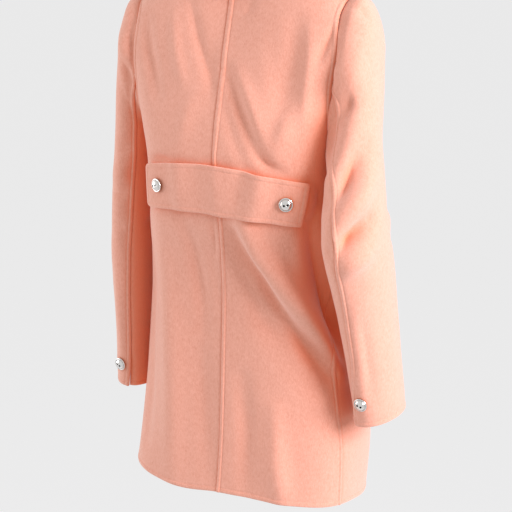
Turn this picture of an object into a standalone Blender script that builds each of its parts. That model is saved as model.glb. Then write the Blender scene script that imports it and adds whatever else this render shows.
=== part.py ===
"""Pea coat as worn: panels, sleeves, turn-down collar, half belt and domed buttons.

Metres, +Z up. The wearer faces -Y, so +X is the wearer's left. The origin is level with the
nape seam, on the axis of the neck, where the shoulders carry the coat.
"""

import math

import bmesh
import bpy
import numpy as np
from mathutils import Matrix, Vector

# Cloth and seams
CLOTH = 0.0030
SEAM_GAP = 0.0003
SEAM_STRIP = 0.0025
SLEEVE_GAP = 0.0005
SLEEVE_STRIP = 0.0010
ARMHOLE_GAP = 0.0005
NECK_GAP = 0.0012
BELT_CLOTH = 0.0044
BELT_LIFT = 0.0008
LAP_RISE = 0.0039
LAP_HALF_ANGLE = 29.0
LAP_RAMP = 13.0

# Half belt: angles round the body from the centre back seam, levels down the back
BELT_LEVEL = 0.288
BELT_HALF_ANGLE = 60.5
BELT_DROOP = 0.0100
BELT_SLANT = 0.0030
BELT_HALF_HEIGHT = 0.0345
BELT_END_HALF_HEIGHT = 0.0315
BELT_CORNER = 0.010
BELT_RADIUS = 0.127
BELT_COLUMNS = 19
BELT_CORNER_TURNS = (0.0, 30.0, 60.0, 88.0)
BELT_ROWS = (-1.0, -0.86, -0.45, 0.0, 0.45, 0.86, 1.0)
BELT_BUTTON_ANGLES = {"left": 46.5, "right": -50.5}

# Collar: how far its edge clears the shoulders, its turn at the fold, and by angle the height
# of its stand and the level that its edge reaches
COLLAR_LIFT = 0.0062
COLLAR_TURN = 0.0075
COLLAR_END_ANGLE = 170.0
COLLAR_COLUMNS = ("angle", "stand", "reach")
COLLAR = (
    (0.0, 0.0340, 0.026),
    (45.0, 0.0270, 0.026),
    (90.0, 0.0190, 0.028),
    (130.0, 0.0175, 0.052),
    (170.0, 0.0165, 0.072),
)
COLLAR_LEAN = 0.0035
COLLAR_PULL_SHARE = 0.75
COLLAR_FRONT_ANGLE = 125.0
COLLAR_FRONT_RAMP = 15.0
COLLAR_FRONT_CLEAR = 0.001
COLLAR_ROLL = 0.003
COLLAR_ANGLES = 27
COLLAR_STAND_ROWS = (0.0, 0.35, 0.7, 1.0)
COLLAR_TURN_ROWS = (45.0, 90.0, 135.0)
COLLAR_FALL_ROWS = (0.2, 0.4, 0.6, 0.8, 1.0)

# Buttons: dome profile as (radius, height) and two sunk holes
BUTTON_PROFILE = (
    (0.0078, 0.0000),
    (0.0096, 0.0009),
    (0.0101, 0.0024),
    (0.0091, 0.0041),
    (0.0062, 0.0055),
    (0.0028, 0.0061),
)
BUTTON_SIDES = 14
BUTTON_HOLE_SIDES = 8
BUTTON_HEIGHT = BUTTON_PROFILE[-1][1]
BUTTON_HOLE_RADIUS = 0.0014
BUTTON_HOLE_SPACING = 0.0027
BUTTON_HOLE_FLOOR = 0.0026
BUTTON_LIFT = 0.0005
FLAT_FACE = 0.97

# Rings round the body, from the neck seam to the hem. level = distance below the nape seam;
# z_* = height at the centre back, the sides and the centre front; left and right = half widths
# from x_mid; back and front = depths; *_power = squareness of that half of the ring;
# tilt = rise per metre towards the wearer's left.
SECTION_COLUMNS = (
    "level", "z_back", "z_side", "z_front", "left", "right", "back", "front",
    "back_power", "front_power", "x_mid", "tilt",
)
SECTIONS = (
    # neck seam
    (0.000, 0.010, 0.026, -0.052, 0.068, 0.068, 0.030, 0.080, 2.2, 2.2, 0.013, -0.037),
    # middle of the shoulder seam
    (0.032, -0.022, 0.006, -0.084, 0.116, 0.116, 0.038, 0.094, 2.6, 2.3, 0.013, -0.037),
    # shoulder points
    (0.065, -0.055, -0.023, -0.113, 0.163, 0.163, 0.047, 0.106, 3.1, 2.5, 0.013, -0.037),
    # shoulder blades
    (0.110, -0.100, -0.085, -0.146, 0.178, 0.178, 0.061, 0.116, 3.5, 2.6, 0.012, -0.030),
    # middle of the armhole
    (0.160, -0.150, -0.146, -0.181, 0.169, 0.163, 0.077, 0.124, 3.3, 2.6, 0.010, -0.020),
    # under the arm
    (0.210, -0.200, -0.203, -0.218, 0.157, 0.149, 0.091, 0.128, 3.2, 2.5, 0.0075, -0.010),
    # above the belt
    (0.250, -0.240, -0.241, -0.250, 0.150, 0.146, 0.098, 0.128, 3.1, 2.4, 0.006, -0.004),
    # belt
    (0.290, -0.280, -0.280, -0.284, 0.1487, 0.1455, 0.1005, 0.124, 3.0, 2.4, 0.005, 0.0),
    # below the belt
    (0.340, -0.330, -0.330, -0.332, 0.1495, 0.149, 0.097, 0.122, 2.95, 2.4, 0.005, 0.0),
    # seat
    (0.390, -0.380, -0.380, -0.381, 0.152, 0.151, 0.088, 0.122, 2.9, 2.4, 0.005, 0.0),
    (0.450, -0.440, -0.440, -0.440, 0.155, 0.153, 0.083, 0.123, 2.85, 2.4, 0.005, 0.0),
    (0.520, -0.510, -0.510, -0.510, 0.1595, 0.157, 0.086, 0.124, 2.8, 2.4, 0.005, 0.0),
    (0.590, -0.580, -0.580, -0.580, 0.165, 0.170, 0.0897, 0.124, 2.7, 2.3, 0.005, 0.0),
    (0.660, -0.650, -0.650, -0.650, 0.171, 0.180, 0.0950, 0.124, 2.85, 2.3, 0.005, 0.0),
    # hem
    (0.735, -0.725, -0.725, -0.725, 0.1780, 0.177, 0.1040, 0.124, 3.1, 2.2, 0.005, 0.0),
)

# Hem: how much lower than its ring it hangs, by angle
HEM_COLUMNS = ("angle", "drop")
HEM_DROP = (
    (-180.0, 0.012),
    (-140.0, 0.013),
    (-105.0, 0.014),
    (-76.0, 0.005),
    (-40.0, -0.001),
    (0.0, 0.001),
    (30.0, 0.007),
    (52.0, 0.004),
    (74.0, -0.003),
    (100.0, 0.003),
    (130.0, 0.010),
    (180.0, 0.012),
)
HEM_FROM_LEVEL = 0.45

# Shoulder seam, from the neck to the top of the armhole
SHOULDER_SEAM_ANGLE = 90.0

# Armhole: at each level, the angle of its back edge and of its front edge
ARMHOLE_COLUMNS = ("level", "back_edge", "front_edge")
ARMHOLE = (
    (0.065, 90.0, 90.0),
    (0.0665, 86.5, 93.8),
    (0.071, 83.0, 98.0),
    (0.080, 79.5, 102.5),
    (0.094, 77.0, 107.0),
    (0.111, 75.6, 110.5),
    (0.131, 74.7, 112.8),
    (0.152, 74.2, 113.8),
    (0.172, 74.4, 113.0),
    (0.188, 75.6, 109.8),
    (0.200, 78.2, 104.0),
    (0.2075, 81.8, 96.5),
    (0.210, 87.0, 87.0),
)

# Side seam below the armhole
SIDE_SEAM_COLUMNS = ("level", "angle")
SIDE_SEAM = (
    (0.210, 87.0),
    (0.290, 85.0),
    (0.390, 82.0),
    (0.500, 79.0),
    (0.620, 77.0),
    (0.735, 76.0),
)

# Rows of the panels outside the armhole's levels
YOKE_LEVELS = (0.0, 0.013, 0.029, 0.047)
LOWER_LEVELS = (
    0.220, 0.236, 0.256, 0.278, 0.302, 0.328, 0.354, 0.380, 0.406, 0.434,
    0.464, 0.496, 0.530, 0.568, 0.610, 0.655, 0.698, 0.735,
)

# Large folds of the body: from one (angle, level) to another, half width across and height
# (a trough is negative). They start below the shoulders and are measured on a cylinder.
FOLD_RADIUS = 0.135
FOLD_FROM_LEVEL = 0.07
FOLD_FADE = 0.03
FOLD_END_SHARE = 0.45
FOLD_COLUMNS = (
    "angle_a", "level_a", "angle_b", "level_b", "half_width", "height",
)
FOLDS = (
    # upper back
    (-4.0, 0.165, -30.0, 0.262, 0.014, -0.0030),
    (-55.0, 0.095, -50.0, 0.190, 0.016, -0.0040),
    (22.0, 0.100, 8.0, 0.170, 0.020, -0.0025),
    (62.0, 0.110, 50.0, 0.185, 0.020, -0.0030),
    # skirt of the back, wearer's right
    (-10.0, 0.345, -63.0, 0.545, 0.024, -0.0060),
    (-30.0, 0.340, -68.0, 0.480, 0.022, 0.0050),
    (-40.0, 0.660, -46.0, 0.735, 0.018, 0.0060),
    (-62.0, 0.400, -70.0, 0.560, 0.018, -0.0060),
    # skirt of the back, wearer's left
    (18.0, 0.340, 5.0, 0.430, 0.018, -0.0030),
    (48.0, 0.420, 44.0, 0.700, 0.024, 0.0035),
    # fronts
    (108.0, 0.330, 112.0, 0.730, 0.026, 0.0050),
    (-108.0, 0.330, -113.0, 0.730, 0.026, 0.0050),
    (128.0, 0.400, 132.0, 0.730, 0.022, -0.0045),
    (-128.0, 0.400, -131.0, 0.730, 0.022, -0.0045),
)

# Sleeves, row by row below the armhole seam: x and z of the outer and the inner line, centre
# of the ring front to back, its half depths, rise of its front over its back, and turn of the
# seams round the arm in degrees
SLEEVE_COLUMNS = (
    "x_out", "z_out", "x_in", "z_in", "y_mid", "back", "front", "rise", "turn",
)
RIGHT_SLEEVE = (
    # cap
    (0.1570, -0.0165, 0.1422, -0.2045, -0.006, 0.050, 0.058, 0.000, 0.0),
    (0.1665, -0.0180, 0.1430, -0.2060, -0.003, 0.050, 0.057, 0.000, 0.0),
    (0.1765, -0.0260, 0.1437, -0.2085, 0.000, 0.050, 0.056, 0.000, 0.0),
    (0.1855, -0.0400, 0.1442, -0.2125, 0.003, 0.050, 0.055, 0.000, 1.0),
    (0.1915, -0.0600, 0.1446, -0.2180, 0.006, 0.050, 0.054, 0.000, 1.0),
    (0.1950, -0.0870, 0.1449, -0.2250, 0.010, 0.050, 0.053, 0.000, 2.0),
    # upper arm
    (0.1985, -0.1200, 0.1451, -0.2340, 0.016, 0.051, 0.053, 0.000, 3.0),
    (0.2040, -0.1580, 0.1450, -0.2460, 0.027, 0.052, 0.053, 0.000, 3.0),
    (0.2105, -0.1980, 0.1455, -0.2620, 0.040, 0.053, 0.053, 0.000, 3.0),
    (0.2185, -0.2380, 0.1465, -0.2810, 0.049, 0.056, 0.056, 0.001, 3.0),
    (0.2255, -0.2780, 0.1480, -0.3040, 0.056, 0.059, 0.059, 0.002, 5.0),
    # elbow
    (0.2310, -0.3180, 0.1495, -0.3320, 0.057, 0.063, 0.062, 0.004, 9.0),
    (0.2335, -0.3580, 0.1515, -0.3640, 0.049, 0.063, 0.062, 0.006, 15.0),
    # forearm
    (0.2345, -0.4000, 0.1560, -0.4020, 0.038, 0.060, 0.059, 0.008, 22.0),
    (0.2345, -0.4450, 0.1615, -0.4450, 0.028, 0.057, 0.056, 0.009, 28.0),
    (0.2370, -0.4900, 0.1685, -0.4920, 0.0230, 0.053, 0.053, 0.010, 32.0),
    (0.2390, -0.5330, 0.1735, -0.5390, 0.0165, 0.051, 0.051, 0.009, 35.0),
    (0.2412, -0.5640, 0.1770, -0.5720, 0.0125, 0.050, 0.050, 0.006, 37.0),
    # cuff edge
    (0.2425, -0.5890, 0.1790, -0.6000, 0.0090, 0.049, 0.049, 0.004, 37.0),
)
LEFT_SLEEVE = (
    # cap
    (0.1830, -0.0265, 0.1650, -0.2065, -0.006, 0.050, 0.058, 0.000, 0.0),
    (0.1920, -0.0290, 0.1658, -0.2080, -0.005, 0.050, 0.057, 0.000, 1.0),
    (0.2015, -0.0370, 0.1665, -0.2105, -0.005, 0.050, 0.056, 0.000, 3.0),
    (0.2100, -0.0510, 0.1670, -0.2145, -0.005, 0.050, 0.055, 0.000, 6.0),
    (0.2160, -0.0710, 0.1675, -0.2200, -0.005, 0.050, 0.054, 0.000, 9.0),
    (0.2200, -0.0970, 0.1680, -0.2270, -0.006, 0.050, 0.053, 0.000, 12.0),
    # upper arm
    (0.2230, -0.1280, 0.1685, -0.2360, -0.006, 0.051, 0.053, 0.000, 15.0),
    (0.2255, -0.1640, 0.1690, -0.2480, -0.006, 0.052, 0.053, 0.000, 17.0),
    (0.2280, -0.2030, 0.1695, -0.2640, -0.007, 0.053, 0.053, 0.000, 18.0),
    (0.2310, -0.2420, 0.1700, -0.2830, -0.008, 0.055, 0.055, 0.000, 18.0),
    (0.2340, -0.2820, 0.1705, -0.3060, -0.008, 0.057, 0.057, 0.001, 18.0),
    # elbow
    (0.2360, -0.3220, 0.1710, -0.3340, -0.007, 0.058, 0.058, 0.002, 18.0),
    (0.2355, -0.3620, 0.1715, -0.3660, -0.003, 0.057, 0.057, 0.003, 18.0),
    # forearm
    (0.2345, -0.4040, 0.1720, -0.4040, 0.002, 0.055, 0.055, 0.003, 18.0),
    (0.2350, -0.4500, 0.1735, -0.4480, 0.003, 0.053, 0.053, 0.003, 18.0),
    (0.2360, -0.4960, 0.1760, -0.4940, 0.001, 0.051, 0.051, 0.003, 18.0),
    (0.2370, -0.5420, 0.1785, -0.5420, -0.003, 0.050, 0.050, 0.003, 18.0),
    (0.2380, -0.5780, 0.1800, -0.5830, -0.006, 0.049, 0.049, 0.003, 18.0),
    # cuff edge
    (0.2390, -0.6120, 0.1815, -0.6190, -0.009, 0.048, 0.048, 0.003, 18.0),
)
SLEEVE_SEAM_BLEND = (1.0, 0.9, 0.75, 0.55, 0.38, 0.24, 0.13, 0.06, 0.02)
SLEEVE_BACK_SEAM = 6
SLEEVE_FRONT_SEAM = 9
CUFF_BUTTON_HEIGHTS = {"left": 0.031, "right": 0.041}
CUFF_BUTTON_COLUMN = 4.4

# Front buttons: distance from the centre front and levels
FRONT_BUTTON_ANGLE = 22.0
FRONT_BUTTON_LEVELS = (0.135, 0.245, 0.355)

# Upright columns of the back and front panels, outer edge first; the fronts' columns lie
# evenly about 180 where they overlap. Those near the edge lean after a smooth line beside it.
BACK_ANGLES = (70.0, 64.0, 58.0, 51.0, 43.0, 34.0, 24.0, 12.0)
FRONT_ANGLES = (
    106.0, 112.0, 119.0, 127.0, 136.0, 144.5, 151.0, 160.0, 170.0, 180.0,
    190.0, 200.0, 209.0,
)
LEAN_ANGLE = 28.0
BACK_LEAN_FROM = 76.0
FRONT_LEAN_FROM = 100.0
LEAN_COLUMNS = ("level", "back", "front")
LEAN = (
    (0.000, 86.0, 94.0),
    (0.047, 86.0, 94.0),
    (0.100, 77.5, 109.0),
    (0.145, 73.0, 115.5),
    (0.180, 74.0, 114.0),
    (0.235, 81.0, 94.0),
    (0.300, 83.0, 89.0),
    (0.390, 81.0, 84.0),
    (0.620, 76.0, 79.0),
    (0.735, 75.0, 78.0),
)
BODY_CENTRE = (0.0, 0.0, -0.3)
NECK_CENTRE = (0.0, 0.0, -0.1)

# Finishes
WOOL = {
    "back_left": (0.78, 0.41, 0.30),
    "back_right": (0.79, 0.42, 0.31),
    "front_left": (0.77, 0.40, 0.29),
    "front_right": (0.80, 0.42, 0.31),
    "collar": (0.80, 0.43, 0.32),
    "upper_sleeve_left": (0.79, 0.42, 0.31),
    "under_sleeve_left": (0.76, 0.40, 0.29),
    "upper_sleeve_right": (0.80, 0.43, 0.32),
    "under_sleeve_right": (0.76, 0.40, 0.29),
    "half_belt": (0.81, 0.44, 0.33),
}
WOOL_ROUGHNESS = 0.9
WOOL_SHEEN = 0.3
METAL = (0.72, 0.71, 0.70)
METAL_ROUGHNESS = 0.22


def pchip(stations, values, at):
    """Shape-keeping cubic through a table: no overshoot between its rows."""
    x = np.asarray(stations, float)
    y = np.asarray(values, float)
    step = np.diff(x)
    slope = np.diff(y, axis=0) / step[:, None]
    tangent = np.zeros_like(y)
    tangent[0] = slope[0]
    tangent[-1] = slope[-1]
    before = step[:-1, None]
    after = step[1:, None]
    weight_a = 2 * after + before
    weight_b = after + 2 * before
    same = slope[:-1] * slope[1:] > 0
    safe_a = np.where(same, slope[:-1], 1.0)
    safe_b = np.where(same, slope[1:], 1.0)
    mean = (weight_a + weight_b) / (weight_a / safe_a + weight_b / safe_b)
    tangent[1:-1] = np.where(same, mean, 0.0)
    at = np.clip(np.asarray(at, float), x[0], x[-1])
    i = np.clip(np.searchsorted(x, at, side="right") - 1, 0, len(x) - 2)
    h = step[i]
    t = (at - x[i]) / h
    t = t[..., None]
    h = h[..., None]
    near = (1 + 2 * t) * (1 - t) ** 2 * y[i] + t * (1 - t) ** 2 * h * tangent[i]
    far = t**2 * (3 - 2 * t) * y[i + 1] + t**2 * (t - 1) * h * tangent[i + 1]
    return near + far


def table_at(columns, table, at):
    """Every named column of a table, at these values of its first column."""
    rows = np.array(table)
    values = pchip(rows[:, 0], rows, at)
    return dict(zip(columns, np.moveaxis(values, -1, 0)))


def smooth(value):
    value = np.clip(value, 0.0, 1.0)
    return value * value * (3 - 2 * value)


def fold_height(angle, level):
    """Sum of the large folds at these places on the body."""
    total = np.zeros_like(level)
    across = np.radians(angle) * FOLD_RADIUS
    for row in FOLDS:
        fold = dict(zip(FOLD_COLUMNS, row))
        start = np.array((math.radians(fold["angle_a"]) * FOLD_RADIUS, fold["level_a"]))
        end = np.array((math.radians(fold["angle_b"]) * FOLD_RADIUS, fold["level_b"]))
        length = float(np.hypot(*(end - start)))
        along = (end - start) / length
        x = across - start[0]
        y = level - start[1]
        t = (x * along[0] + y * along[1]) / length
        side = (x * along[1] - y * along[0]) / fold["half_width"]
        beyond = np.maximum(np.maximum(-t, t - 1), 0) * length / fold["half_width"]
        bulge = np.sin(math.pi * np.clip(t, 0, 1))
        swell = FOLD_END_SHARE + (1 - FOLD_END_SHARE) * bulge
        total += fold["height"] * swell * np.exp(-(side**2) - beyond**2)
    return total


def body_point(angle, level):
    """A point of the coat's outer face: angle from the centre back, + to the wearer's left."""
    angle, level = np.broadcast_arrays(np.asarray(angle, float), np.asarray(level, float))
    row = table_at(SECTION_COLUMNS, SECTIONS, level)
    sine = np.sin(np.radians(angle))
    cosine = np.cos(np.radians(angle))
    half = np.where(sine > 0, row["left"], row["right"])
    depth = np.where(cosine > 0, row["back"], row["front"])
    power = np.where(cosine > 0, row["back_power"], row["front_power"])
    radius = (np.abs(sine) / half) ** power + (np.abs(cosine) / depth) ** power
    radius = radius ** (-1 / power)
    wrapped = (angle + 180) % 360 - 180
    shown = smooth((level - FOLD_FROM_LEVEL) / FOLD_FADE)
    radius = radius + shown * fold_height(wrapped, level)
    z = row["z_side"]
    z = z + (row["z_back"] - row["z_side"]) * np.maximum(cosine, 0) ** 2
    z = z + (row["z_front"] - row["z_side"]) * np.maximum(-cosine, 0) ** 2
    low = np.clip((level - HEM_FROM_LEVEL) / (SECTIONS[-1][0] - HEM_FROM_LEVEL), 0, 1)
    z = z - table_at(HEM_COLUMNS, HEM_DROP, wrapped)["drop"] * low**2
    x = row["x_mid"] + radius * sine
    y = radius * cosine
    return np.stack([x, y, z + row["tilt"] * x], axis=-1)


def body_frame(angle, level):
    """Point of the outer face with its outward direction and its downward direction."""
    point = body_point(angle, level)
    across = body_point(angle + 0.5, level) - body_point(angle - 0.5, level)
    down = body_point(angle, level + 0.002) - body_point(angle, level - 0.002)
    normal = np.cross(across, down)
    normal /= np.linalg.norm(normal, axis=-1, keepdims=True)
    down /= np.linalg.norm(down, axis=-1, keepdims=True)
    return point, normal, down


def lap_rise(angle):
    """How far the upper front lies out over the under front."""
    past = np.abs(angle) - (180 - LAP_HALF_ANGLE - LAP_RAMP)
    return LAP_RISE * smooth(past / LAP_RAMP)


def side_edge(level, name):
    """Angle of a panel's outer edge: shoulder seam, then armhole, then side seam."""
    level = np.asarray(level, float)
    hole = table_at(ARMHOLE_COLUMNS, ARMHOLE, level)[name]
    seam = table_at(SIDE_SEAM_COLUMNS, SIDE_SEAM, level)["angle"]
    edge = np.where(level < ARMHOLE[0][0], SHOULDER_SEAM_ANGLE, hole)
    return np.where(level > ARMHOLE[-1][0], seam, edge)


PANEL_LEVELS = YOKE_LEVELS + tuple(row[0] for row in ARMHOLE) + LOWER_LEVELS


def sheet_object(name, points, centre, thickness, collection, material):
    """An open sheet through a grid of points, made solid towards centre, its inner side."""
    rows, columns = points.shape[:2]
    mesh = bmesh.new()
    verts = [[mesh.verts.new(points[i, j]) for j in range(columns)] for i in range(rows)]
    for i in range(rows - 1):
        for j in range(columns - 1):
            corners = (verts[i][j], verts[i][j + 1], verts[i + 1][j + 1], verts[i + 1][j])
            mesh.faces.new(corners)
    mesh.normal_update()
    middle = verts[rows // 2][columns // 2]
    if middle.normal.dot(middle.co - Vector(centre)) < 0:
        bmesh.ops.reverse_faces(mesh, faces=mesh.faces)
    data = bpy.data.meshes.new(name)
    mesh.to_mesh(data)
    mesh.free()
    for polygon in data.polygons:
        polygon.use_smooth = True
    data.materials.append(material)
    piece = bpy.data.objects.new(name, data)
    collection.objects.link(piece)
    solid = piece.modifiers.new("Cloth", "SOLIDIFY")
    solid.thickness = thickness
    solid.offset = -1.0
    solid.use_rim = True
    solid.use_even_offset = True
    solid.use_quality_normals = True


def inset_angle(side, levels, angle, inset):
    """The angle that lies this many metres round the body from an edge."""
    point = body_point(side * angle, levels)
    radius = np.hypot(point[:, 0], point[:, 1])
    return angle + np.degrees(inset / radius)


def panel_angles(side, levels, edge, sign, upright, lean):
    """Angles of a panel's columns, from its curved edge to the last upright one.

    A narrow strip of cloth lies along the edge, half a seam gap in; the upright columns lean
    as much as this angle says at each level, and less the farther they are from the edge.
    """
    first = inset_angle(side, levels, edge, sign * SEAM_GAP / 2)
    strip = inset_angle(side, levels, edge, sign * (SEAM_GAP / 2 + SEAM_STRIP))
    upright = np.array(upright, float)
    start = BACK_LEAN_FROM if sign < 0 else FRONT_LEAN_FROM
    near = smooth(1 - np.abs(upright - start) / LEAN_ANGLE)[None, :]
    columns = upright[None, :] + (lean - start)[:, None] * near
    return np.concatenate([first[:, None], strip[:, None], columns], axis=1)


def back_panel(name, side, collection, material):
    levels = np.array(PANEL_LEVELS)
    edge = side_edge(levels, "back_edge")
    lean = table_at(LEAN_COLUMNS, LEAN, levels)["back"]
    angle = panel_angles(side, levels, edge, -1, BACK_ANGLES, lean)
    middle = inset_angle(side, levels, np.zeros_like(edge), SEAM_GAP / 2)
    strip = inset_angle(side, levels, np.zeros_like(edge), SEAM_GAP / 2 + SEAM_STRIP)
    angle = np.concatenate([angle, strip[:, None], middle[:, None]], axis=1)
    points = body_point(side * angle, levels[:, None] * np.ones_like(angle))
    sheet_object(name, points, BODY_CENTRE, CLOTH, collection, material)


def front_panel(name, side, upper, collection, material):
    levels = np.array(PANEL_LEVELS)
    edge = side_edge(levels, "front_edge")
    lean = table_at(LEAN_COLUMNS, LEAN, levels)["front"]
    angle = panel_angles(side, levels, edge, 1, FRONT_ANGLES, lean)
    points, normal, _ = body_frame(side * angle, levels[:, None] * np.ones_like(angle))
    if upper:
        points = points + normal * lap_rise(np.minimum(angle, 180.0))[..., None]
    sheet_object(name, points, BODY_CENTRE, CLOTH, collection, material)


def armhole_loop(side):
    """Points round the armhole from its top down the back, under the arm and up the front."""
    rows = np.array(ARMHOLE)
    back = body_point(side * rows[:, 1], rows[:, 0])
    front = body_point(side * rows[:, 2], rows[:, 0])
    return np.concatenate([back, front[-2:0:-1]])


def sleeve_grid(side, table):
    """Points of the sleeve's outer face, a row a section from the armhole seam to the cuff."""
    loop = armhole_loop(side)
    count = len(loop)
    half = count // 2
    steps = np.linalg.norm(np.roll(loop, -1, axis=0) - loop, axis=1)
    along = np.concatenate([[0.0], np.cumsum(steps)])
    back = along[: half + 1] / along[half] * 180
    front = 180 + (along[half:count] - along[half]) / (along[count] - along[half]) * 180
    turn_of = np.concatenate([back, front[1:]])
    top = loop[0]
    bottom = loop[half]
    depth = loop[:, 1]
    seam_row = (
        abs(top[0]), top[2], abs(bottom[0]), bottom[2], depth.mean(),
        depth.max() - depth.mean(), depth.mean() - depth.min(), 0.0, 0.0,
    )
    grid = []
    for index, values in enumerate((seam_row,) + tuple(table)):
        row = dict(zip(SLEEVE_COLUMNS, values))
        t = np.radians(turn_of + row["turn"])
        swing = np.cos(t)
        fore = np.sin(t)
        x = row["x_in"] + (row["x_out"] - row["x_in"]) * (1 + swing) / 2
        z = row["z_in"] + (row["z_out"] - row["z_in"]) * (1 + swing) / 2
        z = z - row["rise"] * fore
        y = row["y_mid"] + np.where(fore > 0, row["back"], row["front"]) * fore
        ring = np.stack([side * x, y, z], axis=-1)
        if index == 0:
            shape = loop - ring
            ring = loop + np.array((side * ARMHOLE_GAP, 0, 0))
        elif index <= len(SLEEVE_SEAM_BLEND):
            ring = ring + shape * SLEEVE_SEAM_BLEND[index - 1]
        grid.append(ring)
    return np.array(grid)


def round_at(grid, column):
    """Points between two columns of a closed grid, on a smooth curve round each row."""
    count = grid.shape[1]
    low = np.floor(column).astype(int)
    t = (column - low)[:, None]
    row = np.arange(len(grid))
    a, b, c, d = (grid[row, (low + k) % count] for k in (-1, 0, 1, 2))
    out = 2 * b + (c - a) * t + (2 * a - 5 * b + 4 * c - d) * t**2
    return 0.5 * (out + (3 * b - a - 3 * c + d) * t**3)


def sleeve_pieces(names, side, table, collection, materials):
    """Upper and under sleeve of one arm, parted at the back and the front sleeve seam."""
    grid = sleeve_grid(side, table)
    count = grid.shape[1]
    back = SLEEVE_BACK_SEAM
    front = count - SLEEVE_FRONT_SEAM
    centre = grid[len(grid) // 2].mean(axis=0)
    for name, start, end, material in zip(
        names, (front - count, back), (back, front), materials
    ):
        inner = [np.full(len(grid), float(k)) for k in range(start + 1, end)]
        columns = []
        for edge, sign in ((start, 1), (end, -1)):
            step = grid[:, (edge + sign) % count] - grid[:, edge % count]
            length = np.linalg.norm(step, axis=1)
            for inset in (SLEEVE_GAP / 2, SLEEVE_GAP / 2 + SLEEVE_STRIP):
                columns.append(edge + sign * inset / length)
        order = [columns[0], columns[1]] + inner + [columns[3], columns[2]]
        points = np.stack([round_at(grid, column) for column in order], axis=1)
        sheet_object(name, points, centre, CLOTH, collection, material)
    return grid


def collar_piece(collection, material):
    """Stand, turn and fall in one piece; the fall rests just clear of the shoulders."""
    angles = np.linspace(-COLLAR_END_ANGLE, COLLAR_END_ANGLE, COLLAR_ANGLES)
    seam, seam_out, _ = body_frame(angles, 0.0)
    base = seam + seam_out * lap_rise(angles)[:, None]
    away = [np.sin(np.radians(angles)), np.cos(np.radians(angles)), np.zeros(len(angles))]
    away = np.stack(away, axis=-1)
    up = np.array((0.0, 0.0, 1.0))
    size = table_at(COLLAR_COLUMNS, COLLAR, np.abs(angles))
    stand = size["stand"][:, None]
    edge, normal, _ = body_frame(angles, size["reach"])
    over_front = smooth((np.abs(angles) - COLLAR_FRONT_ANGLE) / COLLAR_FRONT_RAMP)
    lift = COLLAR_LIFT + CLOTH + (LAP_RISE + COLLAR_FRONT_CLEAR) * over_front
    edge = edge + normal * lift[:, None]
    rows = []
    for share in COLLAR_STAND_ROWS:
        rows.append(base + up * (NECK_GAP + stand * share) + away * (COLLAR_LEAN * share))
    top = rows[-1]
    radius = COLLAR_TURN / 2
    for turn in np.radians(COLLAR_TURN_ROWS):
        shift = away * (radius * (1 - math.cos(turn)))
        rows.append(top + shift + up * (radius * math.sin(turn)))
    start = top + away * COLLAR_TURN
    rows.append(start)
    pull = start - up * (stand * COLLAR_PULL_SHARE) + away * COLLAR_ROLL
    for share in COLLAR_FALL_ROWS:
        near = start + (pull - start) * share
        far = pull + (edge - pull) * share
        rows.append(near + (far - near) * share)
    points = np.array(rows)
    sheet_object("collar", points, NECK_CENTRE, CLOTH, collection, material)


def belt_middle(angle):
    """Level of the belt's middle line: its ends hang, and it rises to the wearer's left."""
    part = angle / BELT_HALF_ANGLE
    return BELT_LEVEL + BELT_DROOP * part**2 - BELT_SLANT * part


def half_belt(collection, material):
    """The strap across the back: the panels' own points moved out."""
    reach = math.radians(BELT_HALF_ANGLE) * BELT_RADIUS
    inner = np.linspace(-1, 1, BELT_COLUMNS)[1:-1] * (reach - BELT_CORNER)
    corner = reach - BELT_CORNER + BELT_CORNER * np.sin(np.radians(BELT_CORNER_TURNS))
    along = np.concatenate([-corner[::-1], inner, corner])
    part = np.abs(along) / reach
    half = BELT_HALF_HEIGHT + (BELT_END_HALF_HEIGHT - BELT_HALF_HEIGHT) * part**2
    past = np.clip((np.abs(along) - (reach - BELT_CORNER)) / BELT_CORNER, 0, 1)
    half = half - BELT_CORNER * (1 - np.sqrt(1 - past**2))
    across = np.array(BELT_ROWS)
    angle = np.degrees(along / BELT_RADIUS)
    level = belt_middle(angle)[None, :] + half[None, :] * across[:, None]
    angle = angle[None, :] * np.ones_like(level)
    point, normal, _ = body_frame(angle, level)
    points = point + normal * (BELT_LIFT + BELT_CLOTH)
    sheet_object("half_belt", points, BODY_CENTRE, BELT_CLOTH, collection, material)


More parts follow.
